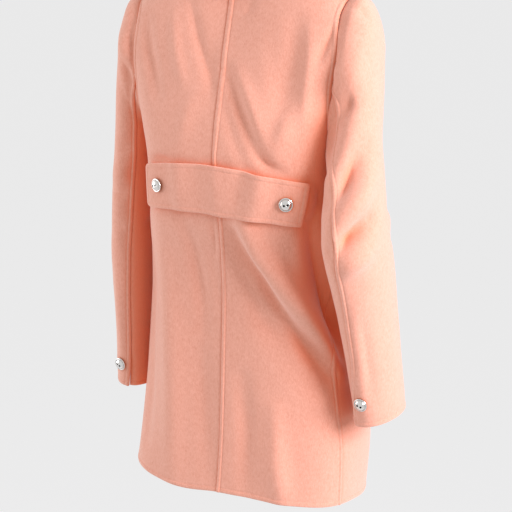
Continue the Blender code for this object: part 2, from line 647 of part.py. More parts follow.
def button_mesh(material):
    """A solid domed button with two sunk holes, standing on its back face at the origin."""
    mesh = bmesh.new()
    rings = []
    for radius, height in BUTTON_PROFILE:
        ring = []
        for k in range(BUTTON_SIDES):
            a = 2 * math.pi * k / BUTTON_SIDES
            ring.append(mesh.verts.new((radius * math.cos(a), radius * math.sin(a), height)))
        rings.append(ring)
    for lower, higher in zip(rings, rings[1:]):
        for k in range(BUTTON_SIDES):
            n = (k + 1) % BUTTON_SIDES
            mesh.faces.new((lower[k], lower[n], higher[n], higher[k]))
    mesh.faces.new(list(reversed(rings[0])))
    mesh.faces.new(rings[-1])
    data = bpy.data.meshes.new("button_blank")
    mesh.to_mesh(data)
    mesh.free()
    blank = bpy.data.objects.new("button_blank", data)
    bpy.context.scene.collection.objects.link(blank)
    drills = []
    for sign in (-1, 1):
        drill = bmesh.new()
        shape = bmesh.ops.create_cone(
            drill, cap_ends=True, segments=BUTTON_HOLE_SIDES, radius1=BUTTON_HOLE_RADIUS,
            radius2=BUTTON_HOLE_RADIUS, depth=2 * BUTTON_HEIGHT,
        )
        shift = (sign * BUTTON_HOLE_SPACING, 0.0, BUTTON_HOLE_FLOOR + BUTTON_HEIGHT)
        bmesh.ops.translate(drill, verts=shape["verts"], vec=shift)
        drill_data = bpy.data.meshes.new("button_drill")
        drill.to_mesh(drill_data)
        drill.free()
        tool = bpy.data.objects.new("button_drill", drill_data)
        bpy.context.scene.collection.objects.link(tool)
        cut = blank.modifiers.new("Hole", "BOOLEAN")
        cut.operation = "DIFFERENCE"
        cut.solver = "EXACT"
        cut.object = tool
        drills.append(tool)
    bpy.context.view_layer.update()
    graph = bpy.context.evaluated_depsgraph_get()
    made = bpy.data.meshes.new_from_object(blank.evaluated_get(graph))
    made.name = "button"
    for tool in drills + [blank]:
        bpy.data.objects.remove(tool)
    made.materials.clear()
    made.materials.append(material)
    for polygon in made.polygons:
        polygon.use_smooth = abs(polygon.normal.z) < FLAT_FACE
    return made


def seated(data, name, point, normal, down, lift, collection):
    """A button with its back against the cloth, its two holes level."""
    normal = np.asarray(normal) / np.linalg.norm(normal)
    across = np.cross(down, normal)
    across /= np.linalg.norm(across)
    upward = np.cross(normal, across)
    place = np.asarray(point) + normal * lift
    matrix = Matrix.Identity(4)
    for i in range(3):
        matrix[i][0] = across[i]
        matrix[i][1] = upward[i]
        matrix[i][2] = normal[i]
        matrix[i][3] = place[i]
    button = bpy.data.objects.new(name, data)
    button.matrix_world = matrix
    collection.objects.link(button)


def cloth_material(name, colour):
    material = bpy.data.materials.new(name)
    material.use_nodes = True
    shader = material.node_tree.nodes["Principled BSDF"]
    shader.inputs["Base Color"].default_value = (*colour, 1.0)
    shader.inputs["Roughness"].default_value = WOOL_ROUGHNESS
    shader.inputs["Sheen Weight"].default_value = WOOL_SHEEN
    material.diffuse_color = (*colour, 1.0)
    return material


def metal_material(name, colour):
    material = bpy.data.materials.new(name)
    material.use_nodes = True
    shader = material.node_tree.nodes["Principled BSDF"]
    shader.inputs["Base Color"].default_value = (*colour, 1.0)
    shader.inputs["Metallic"].default_value = 1.0
    shader.inputs["Roughness"].default_value = METAL_ROUGHNESS
    material.diffuse_color = (*colour, 1.0)
    return material


def cuff_frame(grid, column, height):
    """Point, outward and downward direction on a sleeve this far above its cuff edge."""
    columns = np.full(len(grid), column)
    line = round_at(grid, columns)
    steps = np.linalg.norm(np.diff(line, axis=0), axis=1)
    above = np.concatenate([[0.0], np.cumsum(steps[::-1])])[::-1]
    row = float(np.interp(-height, -above, np.arange(len(grid))))
    low = int(math.floor(row))
    point = line[low] + (line[low + 1] - line[low]) * (row - low)
    down = line[low + 1] - line[low]
    around = round_at(grid, columns + 0.3)[low] - round_at(grid, columns - 0.3)[low]
    normal = np.cross(down, around)
    if normal.dot(point - grid[low].mean(axis=0)) < 0:
        normal = -normal
    return point, normal / np.linalg.norm(normal), down / np.linalg.norm(down)


def main():
    for item in list(bpy.data.objects):
        bpy.data.objects.remove(item)
    coat = bpy.data.collections.new("pea_coat")
    bpy.context.scene.collection.children.link(coat)

    wool = {name: cloth_material("wool_" + name, WOOL[name]) for name in WOOL}
    metal = metal_material("button_metal", METAL)

    back_panel("back_left", 1, coat, wool["back_left"])
    back_panel("back_right", -1, coat, wool["back_right"])
    front_panel("front_left", 1, False, coat, wool["front_left"])
    front_panel("front_right", -1, True, coat, wool["front_right"])
    collar_piece(coat, wool["collar"])
    half_belt(coat, wool["half_belt"])

    button = button_mesh(metal)
    for word, side, table in (("left", 1, LEFT_SLEEVE), ("right", -1, RIGHT_SLEEVE)):
        names = ("upper_sleeve_" + word, "under_sleeve_" + word)
        materials = (wool[names[0]], wool[names[1]])
        grid = sleeve_pieces(names, side, table, coat, materials)
        height = CUFF_BUTTON_HEIGHTS[word]
        point, normal, down = cuff_frame(grid, CUFF_BUTTON_COLUMN, height)
        seated(button, "cuff_button_" + word, point, normal, down, BUTTON_LIFT, coat)

    for word, angle in BELT_BUTTON_ANGLES.items():
        point, normal, down = body_frame(angle, belt_middle(angle))
        lift = BELT_LIFT + BELT_CLOTH + BUTTON_LIFT
        seated(button, "belt_button_" + word, point, normal, down, lift, coat)

    for word, angle in (("left", 180 - FRONT_BUTTON_ANGLE), ("right", FRONT_BUTTON_ANGLE - 180)):
        for number, level in enumerate(FRONT_BUTTON_LEVELS, 1):
            point, normal, down = body_frame(angle, level)
            lift = LAP_RISE + BUTTON_LIFT
            name = "front_button_" + word + "_" + str(number)
            seated(button, name, point, normal, down, lift, coat)


main()
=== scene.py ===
"""Pea coat: the sewn wool coat with its folds, seams, half belt and buttons, on a pale floor."""

import math

import bmesh
import bpy
import numpy as np
from mathutils import Matrix


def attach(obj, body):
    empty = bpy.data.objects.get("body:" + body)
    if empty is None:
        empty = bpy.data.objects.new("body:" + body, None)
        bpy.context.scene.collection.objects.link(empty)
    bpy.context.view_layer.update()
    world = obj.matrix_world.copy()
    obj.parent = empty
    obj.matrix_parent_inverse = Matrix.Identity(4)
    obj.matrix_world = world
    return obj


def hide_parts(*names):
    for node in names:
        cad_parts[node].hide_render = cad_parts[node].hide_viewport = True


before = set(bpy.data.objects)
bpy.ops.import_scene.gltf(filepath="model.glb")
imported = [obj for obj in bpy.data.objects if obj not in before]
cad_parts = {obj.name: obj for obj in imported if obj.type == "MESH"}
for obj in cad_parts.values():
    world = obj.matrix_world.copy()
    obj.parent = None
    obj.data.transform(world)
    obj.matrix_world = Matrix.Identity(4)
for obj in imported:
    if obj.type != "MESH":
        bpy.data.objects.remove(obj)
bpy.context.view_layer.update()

# Cloth and seams
CLOTH = 0.003
ARMHOLE_GAP = 0.0005
BELT_CLOTH = 0.0044
BELT_LIFT = 0.0008
LAP_RISE = 0.0039
LAP_HALF_ANGLE = 29.0
LAP_RAMP = 13.0

# Half belt: angles round the body from the centre back seam, levels down the back
BELT_LEVEL = 0.288
BELT_HALF_ANGLE = 60.5
BELT_DROOP = 0.01
BELT_SLANT = 0.003
BELT_HALF_HEIGHT = 0.0345
BELT_END_HALF_HEIGHT = 0.0315
BELT_RADIUS = 0.127
BELT_BUTTON_ANGLES = {"left": 46.5, "right": -50.5}

# Collar: how far its edge clears the shoulders, its turn at the fold, and by angle the height
# of its stand and the level that its edge reaches
COLLAR_LIFT = 0.0062
COLLAR_TURN = 0.0075
COLLAR_END_ANGLE = 170.0
COLLAR_COLUMNS = ("angle", "stand", "reach")
COLLAR = (
    (0.0, 0.034, 0.026), (45.0, 0.027, 0.026), (90.0, 0.019, 0.028), (130.0, 0.0175, 0.052),
    (170.0, 0.0165, 0.072),
)
COLLAR_LEAN = 0.0035
COLLAR_PULL_SHARE = 0.75
COLLAR_FRONT_ANGLE = 125.0
COLLAR_FRONT_RAMP = 15.0
COLLAR_FRONT_CLEAR = 0.001
COLLAR_ROLL = 0.003

# Rings round the body, from the neck seam to the hem. level = distance below the nape seam;
# z_* = height at the centre back, the sides and the centre front; left and right = half widths
# from x_mid; back and front = depths; *_power = squareness of that half of the ring;
# tilt = rise per metre towards the wearer's left.
SECTION_COLUMNS = (
    "level", "z_back", "z_side", "z_front", "left", "right", "back", "front",
    "back_power", "front_power", "x_mid", "tilt",
)
SECTIONS = (
    # neck seam
    (0.0, 0.01, 0.026, -0.052, 0.068, 0.068, 0.03, 0.08, 2.2, 2.2, 0.013, -0.037),
    # middle of the shoulder seam
    (0.032, -0.022, 0.006, -0.084, 0.116, 0.116, 0.038, 0.094, 2.6, 2.3, 0.013, -0.037),
    # shoulder points
    (0.065, -0.055, -0.023, -0.113, 0.163, 0.163, 0.047, 0.106, 3.1, 2.5, 0.013, -0.037),
    # shoulder blades
    (0.11, -0.1, -0.085, -0.146, 0.178, 0.178, 0.061, 0.116, 3.5, 2.6, 0.012, -0.03),
    # middle of the armhole
    (0.16, -0.15, -0.146, -0.181, 0.169, 0.163, 0.077, 0.124, 3.3, 2.6, 0.01, -0.02),
    # under the arm
    (0.21, -0.2, -0.203, -0.218, 0.157, 0.149, 0.091, 0.128, 3.2, 2.5, 0.0075, -0.01),
    # above the belt
    (0.25, -0.24, -0.241, -0.25, 0.15, 0.146, 0.098, 0.128, 3.1, 2.4, 0.006, -0.004),
    # belt
    (0.29, -0.28, -0.28, -0.284, 0.1487, 0.1455, 0.1005, 0.124, 3.0, 2.4, 0.005, 0.0),
    # below the belt
    (0.34, -0.33, -0.33, -0.332, 0.1495, 0.149, 0.097, 0.122, 2.95, 2.4, 0.005, 0.0),
    # seat
    (0.39, -0.38, -0.38, -0.381, 0.152, 0.151, 0.088, 0.122, 2.9, 2.4, 0.005, 0.0),
    (0.45, -0.44, -0.44, -0.44, 0.155, 0.153, 0.083, 0.123, 2.85, 2.4, 0.005, 0.0),
    (0.52, -0.51, -0.51, -0.51, 0.1595, 0.157, 0.086, 0.124, 2.8, 2.4, 0.005, 0.0),
    (0.59, -0.58, -0.58, -0.58, 0.165, 0.17, 0.0897, 0.124, 2.7, 2.3, 0.005, 0.0),
    (0.66, -0.65, -0.65, -0.65, 0.171, 0.18, 0.095, 0.124, 2.85, 2.3, 0.005, 0.0),
    # hem
    (0.735, -0.725, -0.725, -0.725, 0.178, 0.177, 0.104, 0.124, 3.1, 2.2, 0.005, 0.0),
)

# Hem: how much lower than its ring it hangs, by angle
HEM_COLUMNS = ("angle", "drop")
HEM_DROP = (
    (-180.0, 0.012), (-140.0, 0.013), (-105.0, 0.014), (-76.0, 0.005), (-40.0, -0.001), (0.0, 0.001),
    (30.0, 0.007), (52.0, 0.004), (74.0, -0.003), (100.0, 0.003), (130.0, 0.01), (180.0, 0.012),
)
HEM_FROM_LEVEL = 0.45

# Shoulder seam, from the neck to the top of the armhole
SHOULDER_SEAM_ANGLE = 90.0

# Armhole: at each level, the angle of its back edge and of its front edge
ARMHOLE_COLUMNS = ("level", "back_edge", "front_edge")
ARMHOLE = (
    (0.065, 90.0, 90.0), (0.0665, 86.5, 93.8), (0.071, 83.0, 98.0), (0.08, 79.5, 102.5),
    (0.094, 77.0, 107.0), (0.111, 75.6, 110.5), (0.131, 74.7, 112.8), (0.152, 74.2, 113.8),
    (0.172, 74.4, 113.0), (0.188, 75.6, 109.8), (0.2, 78.2, 104.0), (0.2075, 81.8, 96.5),
    (0.21, 87.0, 87.0),
)

# Side seam below the armhole
SIDE_SEAM_COLUMNS = ("level", "angle")
SIDE_SEAM = (
    (0.21, 87.0), (0.29, 85.0), (0.39, 82.0), (0.5, 79.0), (0.62, 77.0), (0.735, 76.0),
)

# Large folds of the body: from one (angle, level) to another, half width across and height
# (a trough is negative). They start below the shoulders and are measured on a cylinder.
FOLD_RADIUS = 0.135
FOLD_FROM_LEVEL = 0.07
FOLD_FADE = 0.03
FOLD_END_SHARE = 0.45
FOLD_COLUMNS = (
    "angle_a", "level_a", "angle_b", "level_b", "half_width", "height",
)
FOLDS = (
    # upper back
    (-4.0, 0.165, -30.0, 0.262, 0.014, -0.003),
    (-55.0, 0.095, -50.0, 0.19, 0.016, -0.004),
    (22.0, 0.1, 8.0, 0.17, 0.02, -0.0025),
    (62.0, 0.11, 50.0, 0.185, 0.02, -0.003),
    # skirt of the back, wearer's right
    (-10.0, 0.345, -63.0, 0.545, 0.024, -0.006),
    (-30.0, 0.34, -68.0, 0.48, 0.022, 0.005),
    (-40.0, 0.66, -46.0, 0.735, 0.018, 0.006),
    (-62.0, 0.4, -70.0, 0.56, 0.018, -0.006),
    # skirt of the back, wearer's left
    (18.0, 0.34, 5.0, 0.43, 0.018, -0.003),
    (48.0, 0.42, 44.0, 0.7, 0.024, 0.0035),
    # fronts
    (108.0, 0.33, 112.0, 0.73, 0.026, 0.005),
    (-108.0, 0.33, -113.0, 0.73, 0.026, 0.005),
    (128.0, 0.4, 132.0, 0.73, 0.022, -0.0045),
    (-128.0, 0.4, -131.0, 0.73, 0.022, -0.0045),
)

# Sleeves, row by row below the armhole seam: x and z of the outer and the inner line, centre
# of the ring front to back, its half depths, rise of its front over its back, and turn of the
# seams round the arm in degrees
SLEEVE_COLUMNS = (
    "x_out", "z_out", "x_in", "z_in", "y_mid", "back", "front", "rise", "turn",
)
RIGHT_SLEEVE = (
    # cap
    (0.157, -0.0165, 0.1422, -0.2045, -0.006, 0.05, 0.058, 0.0, 0.0),
    (0.1665, -0.018, 0.143, -0.206, -0.003, 0.05, 0.057, 0.0, 0.0),
    (0.1765, -0.026, 0.1437, -0.2085, 0.0, 0.05, 0.056, 0.0, 0.0),
    (0.1855, -0.04, 0.1442, -0.2125, 0.003, 0.05, 0.055, 0.0, 1.0),
    (0.1915, -0.06, 0.1446, -0.218, 0.006, 0.05, 0.054, 0.0, 1.0),
    (0.195, -0.087, 0.1449, -0.225, 0.01, 0.05, 0.053, 0.0, 2.0),
    # upper arm
    (0.1985, -0.12, 0.1451, -0.234, 0.016, 0.051, 0.053, 0.0, 3.0),
    (0.204, -0.158, 0.145, -0.246, 0.027, 0.052, 0.053, 0.0, 3.0),
    (0.2105, -0.198, 0.1455, -0.262, 0.04, 0.053, 0.053, 0.0, 3.0),
    (0.2185, -0.238, 0.1465, -0.281, 0.049, 0.056, 0.056, 0.001, 3.0),
    (0.2255, -0.278, 0.148, -0.304, 0.056, 0.059, 0.059, 0.002, 5.0),
    # elbow
    (0.231, -0.318, 0.1495, -0.332, 0.057, 0.063, 0.062, 0.004, 9.0),
    (0.2335, -0.358, 0.1515, -0.364, 0.049, 0.063, 0.062, 0.006, 15.0),
    # forearm
    (0.2345, -0.4, 0.156, -0.402, 0.038, 0.06, 0.059, 0.008, 22.0),
    (0.2345, -0.445, 0.1615, -0.445, 0.028, 0.057, 0.056, 0.009, 28.0),
    (0.237, -0.49, 0.1685, -0.492, 0.023, 0.053, 0.053, 0.01, 32.0),
    (0.239, -0.533, 0.1735, -0.539, 0.0165, 0.051, 0.051, 0.009, 35.0),
    (0.2412, -0.564, 0.177, -0.572, 0.0125, 0.05, 0.05, 0.006, 37.0),
    # cuff edge
    (0.2425, -0.589, 0.179, -0.6, 0.009, 0.049, 0.049, 0.004, 37.0),
)
LEFT_SLEEVE = (
    # cap
    (0.183, -0.0265, 0.165, -0.2065, -0.006, 0.05, 0.058, 0.0, 0.0),
    (0.192, -0.029, 0.1658, -0.208, -0.005, 0.05, 0.057, 0.0, 1.0),
    (0.2015, -0.037, 0.1665, -0.2105, -0.005, 0.05, 0.056, 0.0, 3.0),
    (0.21, -0.051, 0.167, -0.2145, -0.005, 0.05, 0.055, 0.0, 6.0),
    (0.216, -0.071, 0.1675, -0.22, -0.005, 0.05, 0.054, 0.0, 9.0),
    (0.22, -0.097, 0.168, -0.227, -0.006, 0.05, 0.053, 0.0, 12.0),
    # upper arm
    (0.223, -0.128, 0.1685, -0.236, -0.006, 0.051, 0.053, 0.0, 15.0),
    (0.2255, -0.164, 0.169, -0.248, -0.006, 0.052, 0.053, 0.0, 17.0),
    (0.228, -0.203, 0.1695, -0.264, -0.007, 0.053, 0.053, 0.0, 18.0),
    (0.231, -0.242, 0.17, -0.283, -0.008, 0.055, 0.055, 0.0, 18.0),
    (0.234, -0.282, 0.1705, -0.306, -0.008, 0.057, 0.057, 0.001, 18.0),
    # elbow
    (0.236, -0.322, 0.171, -0.334, -0.007, 0.058, 0.058, 0.002, 18.0),
    (0.2355, -0.362, 0.1715, -0.366, -0.003, 0.057, 0.057, 0.003, 18.0),
    # forearm
    (0.2345, -0.404, 0.172, -0.404, 0.002, 0.055, 0.055, 0.003, 18.0),
    (0.235, -0.45, 0.1735, -0.448, 0.003, 0.053, 0.053, 0.003, 18.0),
    (0.236, -0.496, 0.176, -0.494, 0.001, 0.051, 0.051, 0.003, 18.0),
    (0.237, -0.542, 0.1785, -0.542, -0.003, 0.05, 0.05, 0.003, 18.0),
    (0.238, -0.578, 0.18, -0.583, -0.006, 0.049, 0.049, 0.003, 18.0),
    # cuff edge
    (0.239, -0.612, 0.1815, -0.619, -0.009, 0.048, 0.048, 0.003, 18.0),
)
SLEEVE_SEAM_BLEND = (1.0, 0.9, 0.75, 0.55, 0.38, 0.24, 0.13, 0.06, 0.02)
SLEEVE_FRONT_SEAM = 9

# Front buttons: distance from the centre front and levels
FRONT_BUTTON_ANGLE = 22.0
FRONT_BUTTON_LEVELS = (0.135, 0.245, 0.355)

# Cloth as it is drawn: its borders, the strips over its seams and their stitch lines. The
# pieces meet at their seams.
EDGE_ROUND = 0.0009
BORDER_THINNER = 0.0006
EDGE_STITCH = 0.00045
EDGE_FULL = 0.0005
LOW_DEPTH = 0.0005
LOW_WIDTH = 0.0026
STRIP_TAIL = 0.003
STRIP_RISE = 0.0012
STITCH_DEPTH = 0.0006
STITCH_WIDTH = 0.0009
BACK_STRIP = 0.0066
ARMHOLE_STRIP = 0.0072
SIDE_STRIP = 0.0058
SIDE_RISE = 0.0011
BACK_STRIP_TOP = 0.0018
SLEEVE_SEAM_STRIP = 0.0064
HEM_STITCH = 0.007
FRONT_STITCH = 0.0065
HEM_LEVEL = 0.735
FRONT_DEPTH = 0.124
# Steps down a panel and columns across it; a sleeve's columns; rows up the collar's stand
BACK_STEP = 0.003
FRONT_STEP = 0.0038
BACK_COLUMNS = 44
FRONT_COLUMNS = 52
UPPER_COLUMNS = 46
UNDER_COLUMNS = 24
STAND_ROWS = 12
# Columns beside an edge: metres from it
EDGE = np.array((
    0.0, 0.0003, 0.0007, 0.0012, 0.0019, 0.0027, 0.0036, 0.0045, 0.0054, 0.0062,
    0.007, 0.0078, 0.0087, 0.0098, 0.0112, 0.013, 0.0152,
))

# Where the centre back seam lies: metres from the centre line to the wearer's left, by level
CENTRE_SEAM = (
    (0.0, 0.005), (0.24, 0.0052), (0.29, 0.001), (0.33, -0.0028),
    (0.45, 0.0002), (0.735, 0.0),
)
# Where the back seam of each sleeve lies, by row of its sections
SLEEVE_SEAM = {
    "left": (
        (0.0, 6.9), (1.2, 7.4), (2.5, 7.52), (8.2, 7.12), (14.2, 6.82), (17.2, 6.57), (19.0, 6.05),
    ),
    "right": (
        (0.0, 6.8), (1.4, 7.14), (7.6, 7.02), (11.5, 5.95), (14.3, 5.25), (15.8, 5.05),
        (17.5, 5.55), (19.0, 5.9),
    ),
}
# Cuff: length of its vent, relief of the vent's two sides, rounding of its corner, and the
# column and row of its button
VENT = {"left": 0.06, "right": 0.105}
VENT_LAP = 0.0022
VENT_SINK = 0.0012
CUFF_CORNER = {"left": 0.003, "right": 0.009}
CUFF_BUTTONS = (("left", 1, LEFT_SLEEVE, 4.9, 18.0), ("right", -1, RIGHT_SLEEVE, 4.3, 17.58))

# Folds of the body: half width, height (a trough is negative), then (angle, level) along it;
# widths, heights and levels in millimetres
MM = 1000.0
BODY_FOLD_GAIN = 1.85
COVER_FROM = 0.02
COVER_OVER = 0.04
BODY_FOLDS = (
    # upper back
    (10, -2.4, (56.5, 56), (43.2, 86), (25.8, 119), (11.2, 147)),
    (11, -3.4, (72.2, 85), (66.8, 115), (56.2, 168)),
    (10, 1.8, (62, 75), (52, 115), (40, 150)),
    (10.5, -3.6, (-4.2, 126), (-16.2, 156), (-24.2, 185), (-33.5, 225), (-40, 247)),
    (12.5, 2.4, (-20, 133), (-31.5, 170), (-38.5, 213)),
    (16, -3.2, (-64.8, 86), (-60.5, 119), (-53, 175)),
    (6, -3, (-75.2, 93), (-71.8, 108), (-69, 122)),
    (8, 2.2, (-68.5, 91), (-65, 130), (-60.8, 186)),
    (10, -1.6, (-38.8, 45), (-28.5, 59)),
    (7, -2.8, (-34, 233), (-41.2, 247), (-48.8, 253)),
    (12, 2.4, (-55.5, 177), (-48, 218)),
    (6, -2.2, (53.5, 254), (39, 252)),
    (15, 1.6, (30, 160), (33, 235)),
    (10, -3, (-64.2, 266), (-69.2, 288), (-66.5, 336)),
    (10, -2.6, (68, 262), (72, 292), (66, 330)),
    # skirt of the back
    (14, -3.6, (30.8, 329), (26.8, 374), (23.8, 433), (19.2, 499)),
    (22, 3.8, (50, 338), (53.2, 407), (47.5, 524), (41.8, 657), (36.5, 729)),
    (8, -2, (3, 331), (5.5, 383)),
    (19, 8.4, (-21, 322), (-33.8, 370), (-44.4, 397), (-54.6, 428), (-65.2, 464), (-74.2, 503), (-81, 545)),
    (12, -5.8, (-17.5, 345), (-26.2, 376), (-36, 404), (-45.8, 440), (-55.8, 473),
     (-68.6, 520), (-74.2, 547)),
    (16.5, -13, (-64, 330), (-68.6, 382), (-72.8, 424), (-79.5, 477), (-85.5, 520)),
    (17, -3, (-38.8, 469), (-55.5, 489), (-67, 513), (-77, 543)),
    (15, 3.4, (-45.8, 600), (-46, 656), (-47, 728)),
    (18, -3, (23.5, 500), (15.8, 602), (8.8, 704)),
    (14, -3, (-22, 560), (-26, 640), (-25, 725)),
    (15, -3.4, (66, 400), (68, 520), (61, 690)),
    # fronts, wearer's left then right
    (13, -3.4, (110, 120), (121, 165), (133, 225), (139, 262)),
    (13, 2.4, (104, 222), (118, 235), (131, 262)),
    (10, -3, (97, 232), (106, 254), (117, 262)),
    (16, -3.6, (146, 275), (133, 325), (121, 395), (115, 470)),
    (15, 3.4, (120, 330), (131, 430), (136, 560), (139, 700)),
    (14, -3.2, (100, 350), (104, 440), (110, 545)),
    (16, -3, (150, 440), (151, 560), (148, 690)),
    (12, -2.6, (166, 120), (158, 175), (156, 232)),
    (15, 2.8, (97, 560), (101, 640), (100, 725)),
    (12, -3.6, (-112, 130), (-124, 182), (-134, 245)),
    (14, 2.6, (-102, 215), (-120, 246), (-136, 285)),
    (9, -3, (-98, 240), (-108, 262), (-121, 266)),
    (15, -3.8, (-142, 300), (-129, 360), (-117, 430), (-109, 520)),
    (16, 3.4, (-117, 340), (-127, 450), (-133, 580), (-134, 720)),
    (13, -3, (-99, 400), (-101, 500), (-106, 610)),
    (15, -3, (-149, 500), (-150, 600), (-146, 715)),
    (11, -2.6, (-165, 140), (-157, 200), (-158, 262)),
    (14, -2.6, (-172, 330), (-164, 430), (-166, 560)),
)

# Folds of the sleeves: half width and height in millimetres, then (column, row) along it
SLEEVE_FOLD_GAIN = 1.25
SLEEVE_FOLDS = {
    "right": (
        (5, -3.6, (2.35, 1.7), (1.8, 2.9), (1.35, 3.94)),
        (11, 2.4, (1.4, 1.6), (0.6, 2.9)),
        (19, 6, (9.2, 3.6), (8.8, 6), (8.6, 8.6)),
        (15, -1.8, (2.5, 2.38), (3.4, 3.3), (4.1, 3.9)),
        (15, 7, (4.6, 1.2), (6.2, 1.8), (7.6, 2.8), (8.6, 4.4), (8.8, 6.6)),
        (13, -7.4, (6.8, 5.4), (5.6, 6.06), (4.45, 6.62)),
        (15, 3, (5.9, 4.3), (4.5, 5.4), (3.4, 6)),
        (16, -15, (6.4, 10.2), (5.2, 9.76), (3.5, 9.3), (2.6, 9.12)),
        (15, 7.4, (4.95, 10.9), (3.3, 10.46), (2, 10.2)),
        (12, -16, (5.9, 12.22), (4.6, 11.8), (3.3, 11.54), (2.2, 11.4)),
        (15, 7.4, (5.35, 13), (3.4, 12.58), (1.9, 12.3)),
        (15, -1.6, (4.5, 12.7), (3.6, 13.8)),
        (10, -3, (3.25, 14.8), (3, 16.06), (2.75, 17.3)),
        (12, 2.6, (4.2, 14.6), (3.9, 16.4), (4.1, 18)),
        (10, -3, (-3.6, 13.6), (-4.2, 14.6), (-4, 15.9)),
        (10, -4, (-3.8, 11.3), (-5.2, 11.1), (-7, 10.7)),
        (9, -4.8, (-4, 12.4), (-6, 12), (-8.6, 11.5)),
        (11, 3.6, (-4, 11.85), (-5.6, 11.55), (-7.6, 11.2)),
        (10, -3.4, (-4.2, 5), (-4.8, 7), (-4.4, 9)),
        (9, -4, (15.6, 10.2), (13.2, 10.8), (10.4, 11.4)),
        (9, -4.4, (15.2, 12.4), (12.6, 12.2), (9.2, 12.3)),
        (10, -3.2, (13.6, 13.8), (11.2, 13.6), (8.4, 13.2)),
        (9, -3.4, (12.8, 6.8), (10.4, 7.6), (8.2, 8.6)),
        (12, 2.6, (12.2, 15), (11.6, 16.8), (11.8, 18.2)),
    ),
    "left": (
        (8, -4.4, (4.5, 4.72), (5.95, 3.32), (7.05, 2.36)),
        (12, 2.4, (3.6, 4.1), (5, 2.9), (6.1, 2.2)),
        (12, -2.2, (3.3, 2.76), (5.1, 1.48), (6.2, 1.46)),
        (11, -3, (6.6, 8.6), (5.4, 9.4), (4.2, 9.9)),
        (10, -3.6, (6.6, 11.2), (5.4, 11.5), (4.1, 11.6)),
        (12, 2.6, (6.4, 10.4), (5.2, 10.7), (4, 10.9)),
        (11, -2.6, (6.4, 13), (5.3, 12.9), (4.2, 13.1)),
        (11, -3, (3.6, 14.6), (3.2, 16), (3.4, 17.6)),
        (10, -3.6, (-0.8, 11.4), (-2.8, 11.8), (-5.2, 11.9)),
        (9, -4, (-2, 12.9), (-4.6, 12.5), (-7.6, 12.1)),
        (11, 3, (-1.8, 12.3), (-4.2, 12.1), (-6.8, 11.6)),
        (11, -3.4, (-1.8, 4.6), (-2.4, 6.6), (-1.8, 8.8)),
        (10, -3, (-1.2, 14), (-2.2, 15.4), (-1.8, 17.2)),
        (9, -3.8, (15.2, 10.8), (12.6, 11.2), (9.4, 11.6)),
        (9, -4, (14.8, 12.6), (12, 12.5), (8.8, 12.8)),
        (9, -3.4, (13.4, 7), (11, 8.2), (8.6, 9)),
        (12, 2.6, (11.8, 15), (11.4, 16.8), (11.6, 18.4)),
    ),
}

# How a fold swells from its ends, and how a narrow trough sharpens to a crease
SWELL_END = 0.4
CREASE_WIDTH = 0.0105
CREASE_SHARE = 0.4
CREASE_FALL = 2.2
FAR_AWAY = 9.0
NO_LENGTH = 1e-7

# Waves across the belt: half width in degrees, height, angle, and lean of its lower end
BELT_WAVES = (
    (6.5, 0.0036, -34.0, 2.5), (6.0, -0.0022, -21.0, 2.0), (4.5, -0.0014, -44.0, 1.5),
    (7.0, 0.0016, -3.0, -2.0), (8.0, -0.0016, 14.0, -2.5), (6.0, 0.0018, 31.0, -1.0),
    (4.5, -0.0012, 39.0, -1.5),
)
BELT_CORNERS = {"left": 0.007, "right": 0.004}
BELT_TAPER = 0.0024
BELT_FOLD_SHARE = 0.45
BELT_STITCH = 0.0066
BELT_FACE = BELT_LIFT + BELT_CLOTH + 0.0006
BUTTON_SEAT = 0.0014

# Sleeve cap: its fullness, the dip at its seam, and how much the folds keep beside a seam
SEAM_CALM = 0.4
CAP_SINK = 0.0008
CAP_SINK_WIDTH = 0.004
CAP_PUFF = 0.0036
CAP_PUFF_AT = 0.018
CAP_PUFF_WIDTH = 0.012

# Buttons: half profile as (radius, height)
BUTTON_CURVE = (
    (0.0072, 0.0), (0.0087, 0.0003), (0.0095, 0.0009), (0.0098, 0.0017), (0.0098, 0.0024),
    (0.0095, 0.003), (0.009, 0.0032), (0.0085, 0.0031), (0.0081, 0.0029), (0.0078, 0.003),
    (0.0075, 0.0036), (0.007, 0.0044), (0.0062, 0.0052), (0.005, 0.0059), (0.0034, 0.0064),
    (0.0016, 0.0066),
)
BUTTON_AROUND = 56
HOLE_RADIUS = 0.00155
HOLE_SPACING = 0.0026
HOLE_FLOOR = 0.0022
HOLE_AROUND = 20
DRILL_LENGTH = 0.02

# Flat cut of each piece in metres, and the pieces that it is sewn to or lies on
BACKS = ("back_left_cloth", "back_right_cloth")
SHEETS = {"collar": ((0.74, 0.12), BACKS), "half_belt": ((0.28, 0.074), BACKS)}
for half in ("left", "right"):
    back_piece, front_piece = "back_" + half + "_cloth", "front_" + half + "_cloth"
    SHEETS["back_" + half] = ((0.215, 0.77), ())
    SHEETS["front_" + half] = ((0.365, 0.77), (back_piece,))
    SHEETS["upper_sleeve_" + half] = ((0.24, 0.62), (front_piece, back_piece))
    SHEETS["under_sleeve_" + half] = ((0.15, 0.505), (front_piece, back_piece))

# Finishes and set
WOOL_LIGHT = (0.77, 0.372, 0.286, 1.0)
WOOL_MID = (0.68, 0.302, 0.218, 1.0)
WOOL_DARK = (0.58, 0.213, 0.14, 1.0)
# Painted shade: the deep orange that the wool turns to in hollows, creases and the gaps under the sleeves
WOOL_PAINTED_SHADE = (0.8, 0.185, 0.065, 1.0)
FLOOR_LEVEL = -6.0
FLOOR_SIZE = 160.0
FLOOR_COLOUR = (0.975, 0.978, 0.985, 1.0)
WORLD_COLOUR = (1.0, 0.995, 0.99, 1.0)
WORLD_STRENGTH = 0.84
